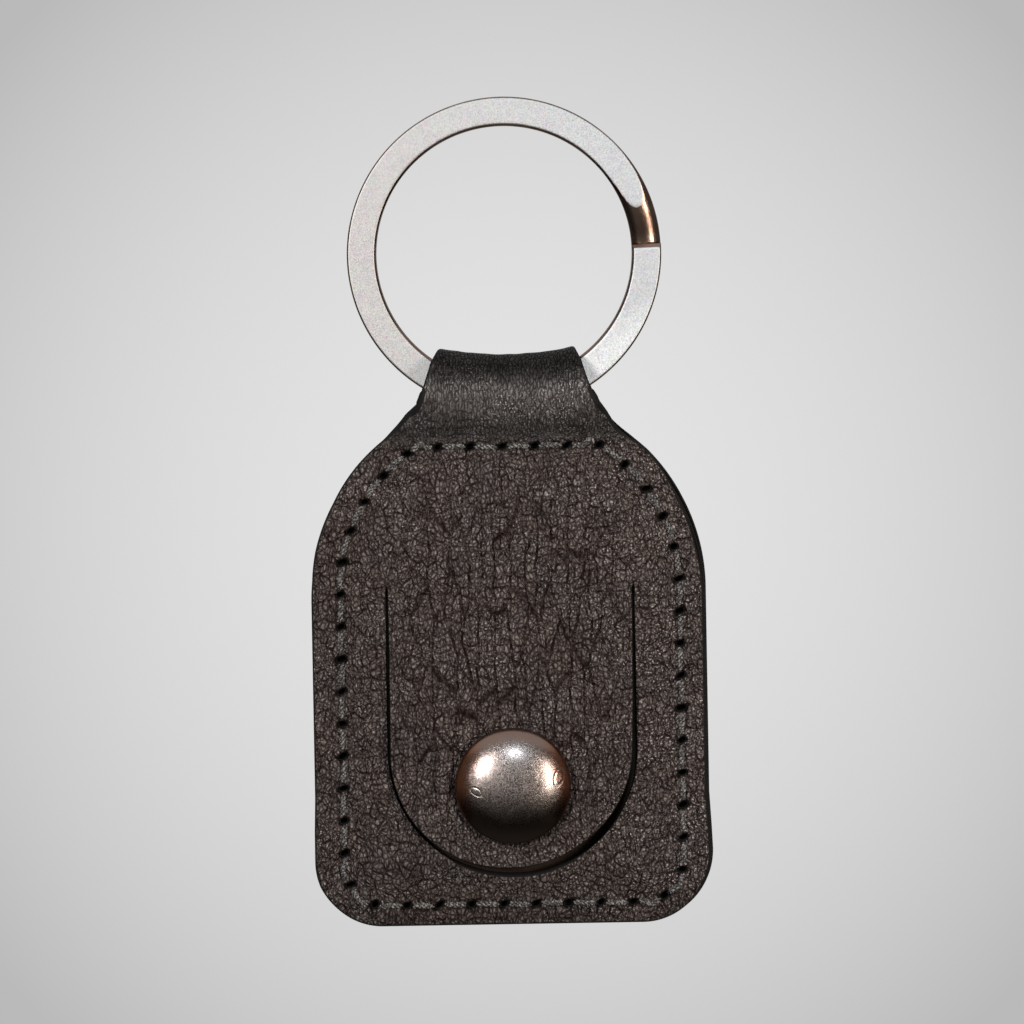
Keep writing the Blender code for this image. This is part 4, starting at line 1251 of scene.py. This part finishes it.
def wrapOutline():
    # the right side runs up the rear layer, over the loop and down the front one, the left side back again
    step = leather["front mesh"]
    top = loopAxisZ
    frontSide = [(x, z - top, z) for x, z in spaced(sideLine(top, archZ - leather["layer step"]), step)]
    backSide = [(x, loopLength + top - z, z) for x, z in spaced(sideLine(top, archZ), step)]
    rise = tunnel["edge height"] - tunnel["sag"] + leather["thickness"]
    neck = []
    for share in np.linspace(0, 1, round(loopLength / step) + 1)[1:-1]:
        height = top + rise * math.sin(math.pi * share)
        width = halfWidth(height, archZ - leather["layer step"] * (1 - share))
        neck.append((width, loopLength * share, height))
    sides = []
    for x, v, z in backSide[::-1] + neck[::-1] + frontSide:
        moved = leather["layer shift"] * (2 * min(max(v / loopLength, 0), 1) - 1)
        sides.append((x, v, z, moved, "front" if v < loopLength / 2 else "rear"))
    outline = [(x + moved + cutOut(z, layer, "right"), v) for x, v, z, moved, layer in sides]
    return outline + [(moved - x - cutOut(z, layer, "left"), v) for x, v, z, moved, layer in sides[-2:0:-1]]


def wrapEdges(outline, holes):
    top = loopAxisZ
    edges = [(outline, leather["edge round"])]
    for loop in holeLoops(holes):
        edges.append(([(x, z - top) for x, z in loop], leather["hole round"]))
        edges.append(([(x, loopLength + top - z) for x, z in reversed(loop)], leather["hole round"]))
    tipX = flap["window half width"] - flap["side gap"] / 2
    tips = [(side * tipX, slitTopZ + flap["slit tip"]) for side in (1, -1)]
    slit = slitOuter + tips[:1] + slitInner[::-1] + tips[1:]
    edges.append(([(x, z - top) for x, z in slit], leather["slit round"]))
    shank = circle((0, snapZ - top), leather["shank hole"], leather["hole steps"])
    edges.append((shank, leather["hole round"]))
    return edges


def makeLeather(holes):
    step = leather["front mesh"]
    outline = wrapOutline()
    edges = wrapEdges(outline, holes)
    hinge = spaced([(x, z - loopAxisZ) for x, z in (slitInner[0], slitInner[-1])], step)
    bands = ((step, -math.inf, loopLength), (leather["back mesh"], loopLength, math.inf))
    plan, faces = planOf(edges, [hinge], bands, leatherTest(edges))
    profile = edgeProfile(plan, edges)
    middle, normal = surfaceOf(plan, stripPlace)
    half = leather["thickness"] / 2
    outer = profile * (half + creased(middle, plan) - seamPull(middle, holes)) - pressedByCap(middle)
    skins, normals = twoSkins(middle, normal, outer, half * profile, faces)
    # painted shade in the stitch holes, and on the inner skin darker towards the outline
    dark = nearHoles(middle, holes)
    shades = (dark, np.maximum(dark, darkenedRim(plan, outline)))
    onFlap = insideLoop(plan[faces].mean(axis=1) + (0, loopAxisZ), slitInner)
    return [layerMesh(skins, normals, faces[kept], profile, plan, shades) for kept in (~onFlap, onFlap)]


def makeLining(holes):
    step = leather["back mesh"]
    side = sideLine(liningTopZ, archZ - leather["layer step"] / 2)
    right = [(x + cutOut(z, "rear", "right"), z) for x, z in side[:-1]]
    left = mirrored([(x + cutOut(z, "rear", "left"), z) for x, z in side[:-1]])
    outline = spaced(right + side[-1:] + left, step, closed=True)
    seatZ = studHigh.z + coinSeat["above stud"] + coinSeat["radius"]
    seat = circle((0, seatZ), coinSeat["radius"], coinSeat["steps"])
    post = circle((0, snapZ), coinSeat["post hole"], leather["hole steps"])
    edges = [(outline, leather["edge round"]), (seat, coinSeat["round"]), (post, coinSeat["post hole round"])]
    plan, faces = planOf(edges, [], ((step, -math.inf, math.inf),), leatherTest(edges))
    profile = edgeProfile(plan, edges)
    middle, normal = surfaceOf(plan, flatPlace)
    waves = leather["lining waves"] * wander(middle, leather["lining wave size"], creases["lining seed"])
    half = profile * ((leather["lining"] + leather["lining swell"]) / 2 + waves)
    skins, normals = twoSkins(middle, normal, half, half, faces)
    dark = np.maximum(nearHoles(middle, holes), darkenedRim(plan, outline))
    return layerMesh(skins, normals, faces, profile, plan, (dark, dark))


# Geometry Nodes: the ring's two turns and the threads

def newTree(name, sizes):
    tree = bpy.data.node_groups.new(name, "GeometryNodeTree")
    tree.interface.new_socket("Geometry", in_out="INPUT", socket_type="NodeSocketGeometry")
    for label, value in sizes.items():
        kind = {int: "NodeSocketInt", float: "NodeSocketFloat"}.get(type(value), "NodeSocketMaterial")
        socket = tree.interface.new_socket(label, in_out="INPUT", socket_type=kind)
        socket.default_value = value
    tree.interface.new_socket("Geometry", in_out="OUTPUT", socket_type="NodeSocketGeometry")
    return tree, tree.nodes.new("NodeGroupInput").outputs


def finishTree(tree, geometry, finish):
    smooth = addNode(tree, "GeometryNodeSetShadeSmooth", {"Geometry": geometry}).outputs[0]
    real = addNode(tree, "GeometryNodeRealizeInstances", {"Geometry": smooth}).outputs[0]
    shown = addNode(tree, "GeometryNodeSetMaterial", {"Geometry": real, "Material": finish}).outputs[0]
    addNode(tree, "NodeGroupOutput", {"Geometry": shown})


def madeByNodes(name, base, tree, sizes):
    # the tree's result as a plain mesh
    maker = bpy.data.objects.new(name + "Maker", base)
    bpy.context.scene.collection.objects.link(maker)
    modifier = maker.modifiers.new("shape", "NODES")
    modifier.node_group = tree
    for item in tree.interface.items_tree:
        if item.in_out == "INPUT" and item.name in sizes:
            modifier[item.identifier] = sizes[item.name]
    evaluated = maker.evaluated_get(bpy.context.evaluated_depsgraph_get())
    mesh = bpy.data.meshes.new_from_object(evaluated)
    maker.modifiers.clear()
    bpy.data.objects.remove(maker)
    return newPiece(name, mesh, [])


ringWire = {
    "Path Steps": 900,
    "Section Steps": 40,
    "Wire Width": 3.0 * mm,
    "Wire Height": 1.0 * mm,
    "Crown": 0.42 * mm,              # how much was ground off the round wire to make the flat
    "Squareness": 0.88,
    "Start": 3.0,
    "Before Jog": 311.0,
    "Jog": 51.0,
    "Whole": 699.0,
    "Twist": -3.0,
    "Lean": 4.0,                     # the wire's section leans, so its inner flank shows
    "Bevel": 0.32 * mm,              # at the front end
    "Bevel Length": 1.5,             # in degrees along the wire, like the four below
    "Front Side From": 360.0,        # the wire lies behind the other turn from here on
    "Front Side Whole": 361.5,
    "Rear Side Until": 330.0,        # it lies in front of the other turn up to here
    "Rear Side Gone": 350.0,
    "Rear Lift": 0.12 * mm,          # the rear turn sits a little higher than the front one
}


def addStored(tree, geometry, name, value):
    return addNode(
        tree, "GeometryNodeStoreNamedAttribute", {"Geometry": geometry, "Name": name, "Value": value},
        data_type="FLOAT", domain="POINT").outputs[0]


def addNamed(tree, name):
    return addNode(tree, "GeometryNodeInputNamedAttribute", {"Name": name}, data_type="FLOAT").outputs[0]


def addPlaced(tree, geometry, *place):
    position = addNode(tree, "ShaderNodeCombineXYZ", dict(enumerate(place))).outputs[0]
    return addNode(tree, "GeometryNodeSetPosition", {"Geometry": geometry, "Position": position}).outputs[0]


def ringPath(tree, size):
    # two turns with a jog between them, which remember their level and how far along they are
    index = addNode(tree, "GeometryNodeInputIndex").outputs[0]
    share = addMath(tree, "DIVIDE", index, addMath(tree, "SUBTRACT", size["Path Steps"], 1))
    travel = addMath(tree, "MULTIPLY", share, size["Whole"])
    jog = addMath(tree, "DIVIDE", addMath(tree, "SUBTRACT", travel, size["Before Jog"]), size["Jog"])
    jog = addNode(tree, "ShaderNodeClamp", {0: jog}).outputs[0]
    eased = addRange(tree, addMath(tree, "MULTIPLY", jog, jog), 0, 1, 1, -1, smooth=True)
    turn = addMath(tree, "RADIANS", addMath(tree, "SUBTRACT", size["Start"], travel))
    lift = addMath(tree, "MULTIPLY", addMath(tree, "MULTIPLY_ADD", eased, -0.5, 0.5), size["Rear Lift"])
    line = addNode(tree, "GeometryNodeMeshLine", {"Count": size["Path Steps"]}).outputs[0]
    placed = addPlaced(
        tree, line, addMath(tree, "MULTIPLY", addMath(tree, "COSINE", turn), size["Radius"]),
        addMath(tree, "MULTIPLY_ADD", addMath(tree, "SINE", turn), size["Radius"], lift),
        addMath(tree, "MULTIPLY", eased, size["Layer"]))
    stored = addStored(tree, addStored(tree, placed, "level", eased), "travel", travel)
    curve = addNode(tree, "GeometryNodeMeshToCurve", {"Mesh": stored}).outputs[0]
    upright = addNode(tree, "GeometryNodeSetCurveNormal", {"Curve": curve}, mode="Z_UP").outputs[0]
    hump = addMath(tree, "SINE", addMath(tree, "MULTIPLY", jog, math.pi))
    twist = addMath(tree, "MULTIPLY", hump, size["Twist"])
    lean = addMath(tree, "RADIANS", addMath(tree, "MULTIPLY_ADD", eased, size["Lean"], twist))
    return addNode(tree, "GeometryNodeSetCurveTilt", {"Curve": upright, "Tilt": lean}).outputs[0]


def ringSection(tree, size, halfHeight):
    # a circle drawn out to the wire's width and height, with its sides a little squared
    plainRound = addNode(
        tree, "GeometryNodeCurvePrimitiveCircle",
        {"Resolution": size["Section Steps"], "Radius": 1.0}).outputs[0]
    here = addParts(tree, addNode(tree, "GeometryNodeInputPosition").outputs[0])
    section = []
    for axis, half in ((0, addMath(tree, "MULTIPLY", size["Wire Width"], 0.5)), (1, halfHeight)):
        squared = addMath(tree, "POWER", addMath(tree, "ABSOLUTE", here[axis]), size["Squareness"])
        section.append(addChain(tree, "MULTIPLY", squared, addMath(tree, "SIGN", here[axis]), half))
    return addPlaced(tree, plainRound, *section)


def ringTree(sizes):
    tree, size = newTree("splitRing", sizes)
    halfHeight = addMath(tree, "MULTIPLY_ADD", size["Wire Height"], 0.5, size["Crown"])
    wire = addNode(
        tree, "GeometryNodeCurveToMesh",
        {"Curve": ringPath(tree, size), "Profile Curve": ringSection(tree, size, halfHeight),
         "Fill Caps": True}).outputs[0]
    # flatten the side that faces the other turn, then grind both outer faces flat
    here = addParts(tree, addNode(tree, "GeometryNodeInputPosition").outputs[0])
    pathLevel = addMath(tree, "MULTIPLY", addNamed(tree, "level"), size["Layer"])
    offset = addMath(tree, "SUBTRACT", here[2], pathLevel)
    travel = addNamed(tree, "travel")
    frontSide = addRange(tree, travel, size["Front Side From"], size["Front Side Whole"])
    rearSide = addRange(tree, travel, size["Rear Side Until"], size["Rear Side Gone"], 1, 0)
    inward = addMix(tree, addMath(tree, "GREATER_THAN", offset, 0), rearSide, frontSide)
    flatShare = addMath(tree, "DIVIDE", addMath(tree, "MULTIPLY", size["Wire Height"], 0.5), halfHeight)
    kept = addMath(tree, "MULTIPLY_ADD", inward, addMath(tree, "SUBTRACT", flatShare, 1), 1)
    height = addMath(tree, "MULTIPLY_ADD", offset, kept, pathLevel)
    bevel = addMath(tree, "MULTIPLY", addRange(tree, travel, 0, size["Bevel Length"], 1, 0), size["Bevel"])
    height = addMath(tree, "MINIMUM", height, addMath(tree, "SUBTRACT", size["Face Level"], bevel))
    height = addMath(tree, "MAXIMUM", height, addMath(tree, "MULTIPLY", size["Face Level"], -1))
    moved = addNode(
        tree, "GeometryNodeTransform",
        {"Geometry": addPlaced(tree, wire, here[0], here[1], height), "Translation": tuple(ringMiddle),
         "Rotation": (math.pi / 2, 0, 0)}).outputs[0]
    finishTree(tree, moved, size["Finish"])
    return tree


def makeRing():
    faceLevel = (ringHigh.y - ringLow.y) / 2
    sizes = dict(ringWire)
    sizes["Radius"] = (ringHigh.x - ringLow.x) / 2 - ringWire["Wire Width"] / 2
    sizes["Layer"] = faceLevel - ringWire["Wire Height"] / 2
    sizes["Face Level"] = faceLevel
    sizes["Finish"] = groundSteel(faceLevel)
    return madeByNodes("ringCoils", bpy.data.meshes.new("ringBase"), ringTree(sizes), sizes)


thread = {
    "Step": 0.09 * mm,
    "Strands": 3,
    "Strand Radius": 0.16 * mm,
    "Strand Offset": 0.165 * mm,
    "Turn Length": 1.5 * mm,
    "Strand Steps": 8,
}

stitchRun = {
    "level": 0.06 * mm,              # thread's middle above the leather between two holes
    "dive": 1.15 * mm,
    # millimetres from a hole, and how far it is sunk there as a share of the dive
    "half": ((0, 1.05), (0.30, 1.0), (0.52, 0.74), (0.76, 0.18), (1.10, 0)),
    "rise": 0.05,                    # between two holes, as a share of the dive
    "slant": 0.045 * mm,             # to each millimetre along the seam
    "sway": 0.05 * mm,
    "sway rhythm": 2.4,
}


def threadTree(name, sizes):
    tree, size = newTree(name, sizes)
    curve = addNode(tree, "GeometryNodeMeshToCurve", {"Mesh": size["Geometry"]}).outputs[0]
    soft = addNode(
        tree, "GeometryNodeCurveSplineType", {"Curve": curve}, spline_type="CATMULL_ROM").outputs[0]
    even = addNode(
        tree, "GeometryNodeResampleCurve", {"Curve": soft, "Length": size["Step"]}, mode="LENGTH").outputs[0]
    run = addNode(tree, "GeometryNodeSplineParameter").outputs["Length"]
    turns = addMath(tree, "DIVIDE", run, size["Turn Length"])
    twisted = addNode(
        tree, "GeometryNodeSetCurveTilt",
        {"Curve": even, "Tilt": addMath(tree, "MULTIPLY", turns, math.tau)}).outputs[0]
    middles = addNode(
        tree, "GeometryNodeMeshCircle",
        {"Vertices": size["Strands"], "Radius": size["Strand Offset"]}).outputs[0]
    strand = addNode(
        tree, "GeometryNodeCurvePrimitiveCircle",
        {"Resolution": size["Strand Steps"], "Radius": size["Strand Radius"]}).outputs[0]
    placed = addNode(tree, "GeometryNodeInstanceOnPoints", {"Points": middles, "Instance": strand}).outputs[0]
    profile = addNode(tree, "GeometryNodeRealizeInstances", {"Geometry": placed}).outputs[0]
    rope = addNode(tree, "GeometryNodeCurveToMesh", {"Curve": twisted, "Profile Curve": profile}).outputs[0]
    finishTree(tree, rope, size["Finish"])
    return tree


def threadLine(holes, side):
    # the thread's middle line: over the leather between holes, and down into each one
    surface = pinch + leather["thickness"] - seam["groove"] + stitchRun["level"]
    half = stitchRun["half"]
    stops = [(-run, sunk, -run) for run, sunk in half[:0:-1]] + [(run, sunk, run) for run, sunk in half]
    stops.append((seam["pitch"] / 2 / mm, -stitchRun["rise"], 0))
    points = []
    for number, (middle, along) in enumerate(holes):
        across = np.array((-along[1], along[0]))
        for run, sunk, slanted in stops:
            sway = stitchRun["sway"] * math.sin(number * stitchRun["sway rhythm"] + run)
            flat = middle + along * run * mm + across * (stitchRun["slant"] * slanted + sway)
            points.append((flat[0], -side * (surface - stitchRun["dive"] * sunk), flat[1]))
    return points


def makeThread(name, holes, side, finish):
    points = threadLine(holes, side)
    base = bpy.data.meshes.new(name + "Base")
    count = len(points)
    base.from_pydata(points, [(index, (index + 1) % count) for index in range(count)], [])
    sizes = dict(thread)
    sizes["Finish"] = finish
    return madeByNodes(name, base, threadTree(name, sizes), sizes)


# Turned metal parts, drawn as (radius, forward)

turning = {
    "steps": 96,
    "weld": 0.002 * mm,
    "sharp": math.radians(50),
    "corner steps": 3,
    "corner share": 0.45,            # of the shorter leg, the most that a rounded corner takes
}


def rounded(profile, radius):
    # the profile with its corners cut round
    points = [Vector(point) for point in profile]
    made = [points[0]]
    for before, corner, after in zip(points, points[1:], points[2:]):
        reach = min(radius, *((other - corner).length * turning["corner share"] for other in (before, after)))
        start = corner + (before - corner).normalized() * reach
        end = corner + (after - corner).normalized() * reach
        for step in range(turning["corner steps"] + 1):
            share = step / turning["corner steps"]
            made.append(start.lerp(corner, share).lerp(corner.lerp(end, share), share))
    return [tuple(point) for point in made + points[-1:]]


def metalMesh(name, shape):
    bmesh.ops.recalc_face_normals(shape, faces=shape.faces)
    mesh = bpy.data.meshes.new(name)
    shape.to_mesh(mesh)
    shape.free()
    mesh.shade_smooth()
    mesh.set_sharp_from_angle(angle=turning["sharp"])
    return mesh


def turnedMesh(profile, closed):
    shape = bmesh.new()
    corners = [shape.verts.new((radius, -forward, snapZ)) for radius, forward in profile]
    pairs = list(zip(corners, corners[1:]))
    if closed:
        pairs.append((corners[-1], corners[0]))
    edges = [shape.edges.new(pair) for pair in pairs]
    bmesh.ops.spin(
        shape, geom=corners + edges, cent=(0, 0, snapZ), axis=(0, 1, 0), angle=math.tau,
        steps=turning["steps"], use_merge=True)
    bmesh.ops.remove_doubles(shape, verts=shape.verts, dist=turning["weld"])
    return metalMesh("turned", shape)


cap = {
    "height": 2.6 * mm,
    "dome foot": 0.504 * mm,         # where the dome begins above the cap's edge
    "dome steps": 28,
    # inwards from the rim and up
    "curl": ((0, 0.252 * mm), (0.06 * mm, 0.16 * mm), (0.2 * mm, 0.03 * mm), (0.36 * mm, 0)),
    "curl end": 0.06 * mm,
    "wall": 0.45 * mm,
    "inner steps": 8,
    "shank": 1.6 * mm,
    "bore": 0.9 * mm,
    "flare": 2.4 * mm,
    "flare thickness": 0.25 * mm,
}


def domeProfile(radius, rise, baseForward, innerRadius, steps):
    turns = np.linspace(math.asin(innerRadius / radius), math.pi / 2, steps + 1)
    return [(radius * math.sin(turn), baseForward + rise * math.cos(turn)) for turn in turns]


def makeCap():
    top, flareBase = -capLow.y, -capHigh.y
    base = top - cap["height"]
    rise = cap["height"] - cap["dome foot"]
    innerRadius = capRadius - cap["wall"]
    outside = domeProfile(capRadius, rise, top - rise, 0, cap["dome steps"])
    curl = [(capRadius - inwards, base + up) for inwards, up in cap["curl"]]
    inside = domeProfile(innerRadius, rise - cap["wall"], top - rise, cap["shank"], cap["inner steps"])
    flareTop = flareBase + cap["flare thickness"]
    shank = [(cap["shank"], flareTop), (cap["flare"], flareTop), (cap["flare"], flareBase),
             (cap["bore"], flareBase), (cap["bore"], base), (0, base)]
    return turnedMesh(outside + curl + [(innerRadius, base + cap["curl end"])] + inside[::-1] + shank, False)


socket = {
    "wall": 0.3 * mm,
    "flange": 4.6 * mm,
    "body": 4.0 * mm,
    "mouth": 2.97 * mm,
    "chamber": 3.34 * mm,
    "hole": 1.9 * mm,
    "round": 0.12 * mm,
}


def makeSocket():
    base, top = -socketHigh.y, -socketLow.y
    wall, flange, body, mouth, chamber, hole, corner = socket.values()
    web = top - wall
    profile = [
        (hole, top), (flange, top), (flange, web), (body, web - wall), (body, base + wall),
        (body - wall, base), (mouth, base), (mouth, base + wall), (chamber, base + wall), (chamber, web),
        (hole, web), (hole, top)]
    return turnedMesh(rounded(profile, corner), True)


spring = {
    "open": 20,                      # degrees on each side of its gap
    "steps": 73,
    "section steps": 12,
}


def makeSpring():
    # open ring of round wire
    wire = (springHigh.y - springLow.y) / 2
    middleY = (springHigh.y + springLow.y) / 2
    radius = (springHigh.z - springLow.z) / 2 - wire
    shape = bmesh.new()
    sections = []
    for turn in np.radians(np.linspace(spring["open"], 360 - spring["open"], spring["steps"])):
        ring = []
        for side in np.linspace(0, math.tau, spring["section steps"], endpoint=False):
            out = radius + wire * math.cos(side)
            ring.append(shape.verts.new((
                out * math.cos(turn), middleY - wire * math.sin(side), snapZ + out * math.sin(turn))))
        sections.append(ring)
    for ring, following in zip(sections, sections[1:]):
        for side in range(len(ring)):
            after = (side + 1) % len(ring)
            shape.faces.new((ring[side], ring[after], following[after], following[side]))
    shape.faces.new(sections[0][::-1])
    shape.faces.new(sections[-1])
    return metalMesh("spring", shape)


stud = {
    "flange": 0.35 * mm,
    "bore": 1.35 * mm,
    "neck": 2.2 * mm,
    "ball": 2.6 * mm,
    "seat": 1.9 * mm,
    "seat depth": 0.45 * mm,
    "neck share": 0.22,              # where neck and ball end, as shares of the rise over the flange
    "ball shares": (0.5, 0.74),
    "round": 0.22 * mm,
}


def makeStud():
    base, top = -studHigh.y, -studLow.y
    flange = base + stud["flange"]
    neckTop, ballLow, ballHigh = (
        flange + (top - flange) * share for share in (stud["neck share"], *stud["ball shares"]))
    bore, neck, ball, seat = (stud[name] for name in ("bore", "neck", "ball", "seat"))
    seatLevel = top - stud["seat depth"]
    wide = (studHigh.x - studLow.x) / 2
    profile = [
        (bore, base), (wide, base), (wide, flange), (neck, flange), (neck, neckTop), (ball, ballLow),
        (ball, ballHigh), (neck, top), (seat, top), (seat, seatLevel), (bore, seatLevel), (bore, base)]
    return turnedMesh(rounded(profile, stud["round"]), True)


post = {
    "flange": 0.35 * mm,
    "shaft": 1.2 * mm,
    "flare": 1.75 * mm,
    "flare thickness": 0.25 * mm,
    "round": 0.1 * mm,
}


def makePost():
    back, tip = -postHigh.y, -postLow.y
    wide = (postHigh.x - postLow.x) / 2
    front, flareBack = back + post["flange"], tip - post["flare thickness"]
    profile = [
        (0, back), (wide, back), (wide, front), (post["shaft"], front), (post["shaft"], flareBack),
        (post["flare"], flareBack), (post["flare"], tip), (0, tip)]
    return turnedMesh(rounded(profile, post["round"]), False)


# The piece on its body, in place of its CAD node

def dress(piece, body, node):
    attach(piece, body)
    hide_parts(node)


print("ring")
dress(makeRing(), "key_ring", "split_ring")

print("leather")
seamPlaces = seamHoles()
skins = [grainLeather(), rawSuede(), cutEdge()]
wrapMesh, tongueMesh = makeLeather(seamPlaces)
dress(newPiece("wrapLeather", wrapMesh, skins), "case", "leather_wrap")
tongue = newPiece("flapLeather", tongueMesh, skins)
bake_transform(tongue)
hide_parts("flap_leather")
lining = newPiece("middleLayer", makeLining(seamPlaces), [skins[1], skins[1], skins[2]])
dress(lining, "case", "pocket_lining")

print("thread")
twine = waxedThread(pinch + leather["thickness"])
dress(makeThread("needleStitches", seamPlaces, 1, twine), "case", "needle_thread")
dress(makeThread("bobbinStitches", seamPlaces, -1, twine), "case", "bobbin_thread")

print("snap")
capMiddle = Vector((0, 0, snapZ))
dress(newPiece("snapCap", makeCap(), [wornNickel(capMiddle, capRadius)]), "flap", "snap_cap")
satin = plainNickel("satinNickel", nickelWear["satin"])
dress(newPiece("snapSocket", makeSocket(), [satin]), "flap", "snap_socket")
springSteel = plainNickel("springSteel", nickelWear["spring"])
dress(newPiece("snapSpring", makeSpring(), [springSteel]), "flap", "snap_spring")
dress(newPiece("snapStud", makeStud(), [satin]), "case", "snap_stud")
dress(newPiece("snapPost", makePost(), [satin]), "case", "snap_post")


# Studio

studio = {
    "backdrop": 0.771,               # brightness behind the middle of the object
    "fall": 11.5,                    # how fast it falls off to the corners
    "least": 0.49,
    "least depth": 0.001,
    # what metal sees of the room, and where it begins and ends as a direction
    "front": 0.11,
    "front span": (-0.95, -0.70, 1, 0),
    "above": 0.41,
    "above span": (0.52, 0.66),
    "beside": 0.12,
    "below": 0.015,
    "beside span": (-0.40, 0.05),
    "behind span": (0.70, 0.92),
    "ambient": 0.12,
    "floor depth": 0.9,
    "floor reach": 1.0,
    "paper": ((0.56, 0.56, 0.56), (0.62, 0.62, 0.62)),
    "paper noise": (0.01, 2),
    "paper roughness": 0.9,
}


def makeWorld():
    world = bpy.data.worlds.new("studio")
    bpy.context.scene.world = world
    world.use_nodes = True
    tree = world.node_tree
    right, back, up = addParts(tree, addNode(tree, "ShaderNodeTexCoord").outputs["Generated"])
    depth = addMath(tree, "MAXIMUM", back, studio["least depth"])
    off = addMath(tree, "ADD", addMath(tree, "MULTIPLY", right, right), addMath(tree, "MULTIPLY", up, up))
    slope = addMath(tree, "DIVIDE", off, addMath(tree, "MULTIPLY", depth, depth))
    glow = addMath(tree, "MULTIPLY_ADD", slope, -studio["fall"], studio["backdrop"])
    glow = addMath(tree, "MAXIMUM", glow, studio["least"])
    sides = addRange(tree, up, *studio["beside span"], studio["below"], studio["beside"], smooth=True)
    above = addRange(tree, up, *studio["above span"], 0, studio["above"], smooth=True)
    sides = addMath(tree, "ADD", sides, above)
    room = addMix(tree, addRange(tree, back, *studio["front span"], smooth=True), sides, studio["front"])
    room = addMix(tree, addRange(tree, back, *studio["behind span"], smooth=True), room, glow)
    rays = addNode(tree, "ShaderNodeLightPath").outputs
    seen = addMix(tree, rays["Is Glossy Ray"], studio["ambient"], room)
    for ray in ("Is Transmission Ray", "Is Camera Ray"):
        seen = addMix(tree, rays[ray], seen, glow)
    background = tree.nodes["Background"]
    tree.links.new(seen, background.inputs["Color"])
    background.inputs["Strength"].default_value = 1


lamps = {                            # place relative to the case's middle, width, height, power, colour
    "left": ((-0.32, -0.66, 0.17), 0.15, 0.20, 2.6, (1.0, 0.95, 0.92)),
    "right": ((0.42, -0.62, 0.05), 0.065, 0.28, 2.4, (1.0, 0.88, 0.78)),
    "top": ((0.03, -0.69, 0.31), 0.09, 0.07, 1.0, (0.78, 0.89, 1.0)),
}


def makeLamps(middle):
    for name, (offset, width, height, power, colour) in lamps.items():
        light = bpy.data.lights.new(name, "AREA")
        light.shape = "RECTANGLE"
        light.size = width
        light.size_y = height
        light.energy = power
        light.color = colour
        lamp = bpy.data.objects.new(name, light)
        lamp.location = middle + Vector(offset)
        lamp.rotation_euler = (-Vector(offset)).to_track_quat("-Z", "Y").to_euler()
        lamp.visible_camera = False
        bpy.context.scene.collection.objects.link(lamp)


def makeFloor(middle):
    mesh = bpy.data.meshes.new("floor")
    reach, depth = studio["floor reach"], studio["floor depth"]
    corners = [(x * reach, y * reach, -depth) for x, y in ((-1, -1), (1, -1), (1, 1), (-1, 1))]
    mesh.from_pydata([tuple(middle + Vector(corner)) for corner in corners], [], [(0, 1, 2, 3)])
    finish, tree, place = newFinish("palePaper", {"Roughness": studio["paper roughness"]})
    shade = addColour(tree, addNoise(tree, place, *studio["paper noise"]), *studio["paper"])
    newPiece("floor", mesh, [finished(finish, {"Base Color": shade})])


shot = {
    "distance": 0.45,
    "width": 104.2 * mm,             # how much of the ring's plane the picture is wide
    "pixels": 1024,
    "ring pixel": (504.0, 254.3),    # where the ring's middle stands in the picture
    "roll": -0.97,                   # how far the object leans clockwise in the picture
    "sensor": 36,
}


def makeCamera():
    data = bpy.data.cameras.new("camera")
    camera = bpy.data.objects.new("camera", data)
    bpy.context.scene.collection.objects.link(camera)
    data.sensor_width = shot["sensor"]
    data.lens = shot["sensor"] * shot["distance"] / shot["width"]
    roll = math.radians(shot["roll"])
    pixel = shot["width"] / shot["pixels"]
    right, down = ((shot["pixels"] / 2 - place) * pixel for place in shot["ring pixel"])
    aim = ringMiddle + Vector((
        right * math.cos(roll) + down * math.sin(roll), 0, right * math.sin(roll) - down * math.cos(roll)))
    camera.location = aim - Vector((0, shot["distance"], 0))
    camera.rotation_euler = (math.pi / 2, -roll, 0)
    bpy.context.scene.camera = camera


print("studio")
caseMiddle = Vector((0, 0, (ringHigh.z + bottomZ) / 2))
makeWorld()
makeLamps(caseMiddle)
makeFloor(caseMiddle)
makeCamera()
bpy.context.scene.view_settings.view_transform = "Standard"

print("finished")
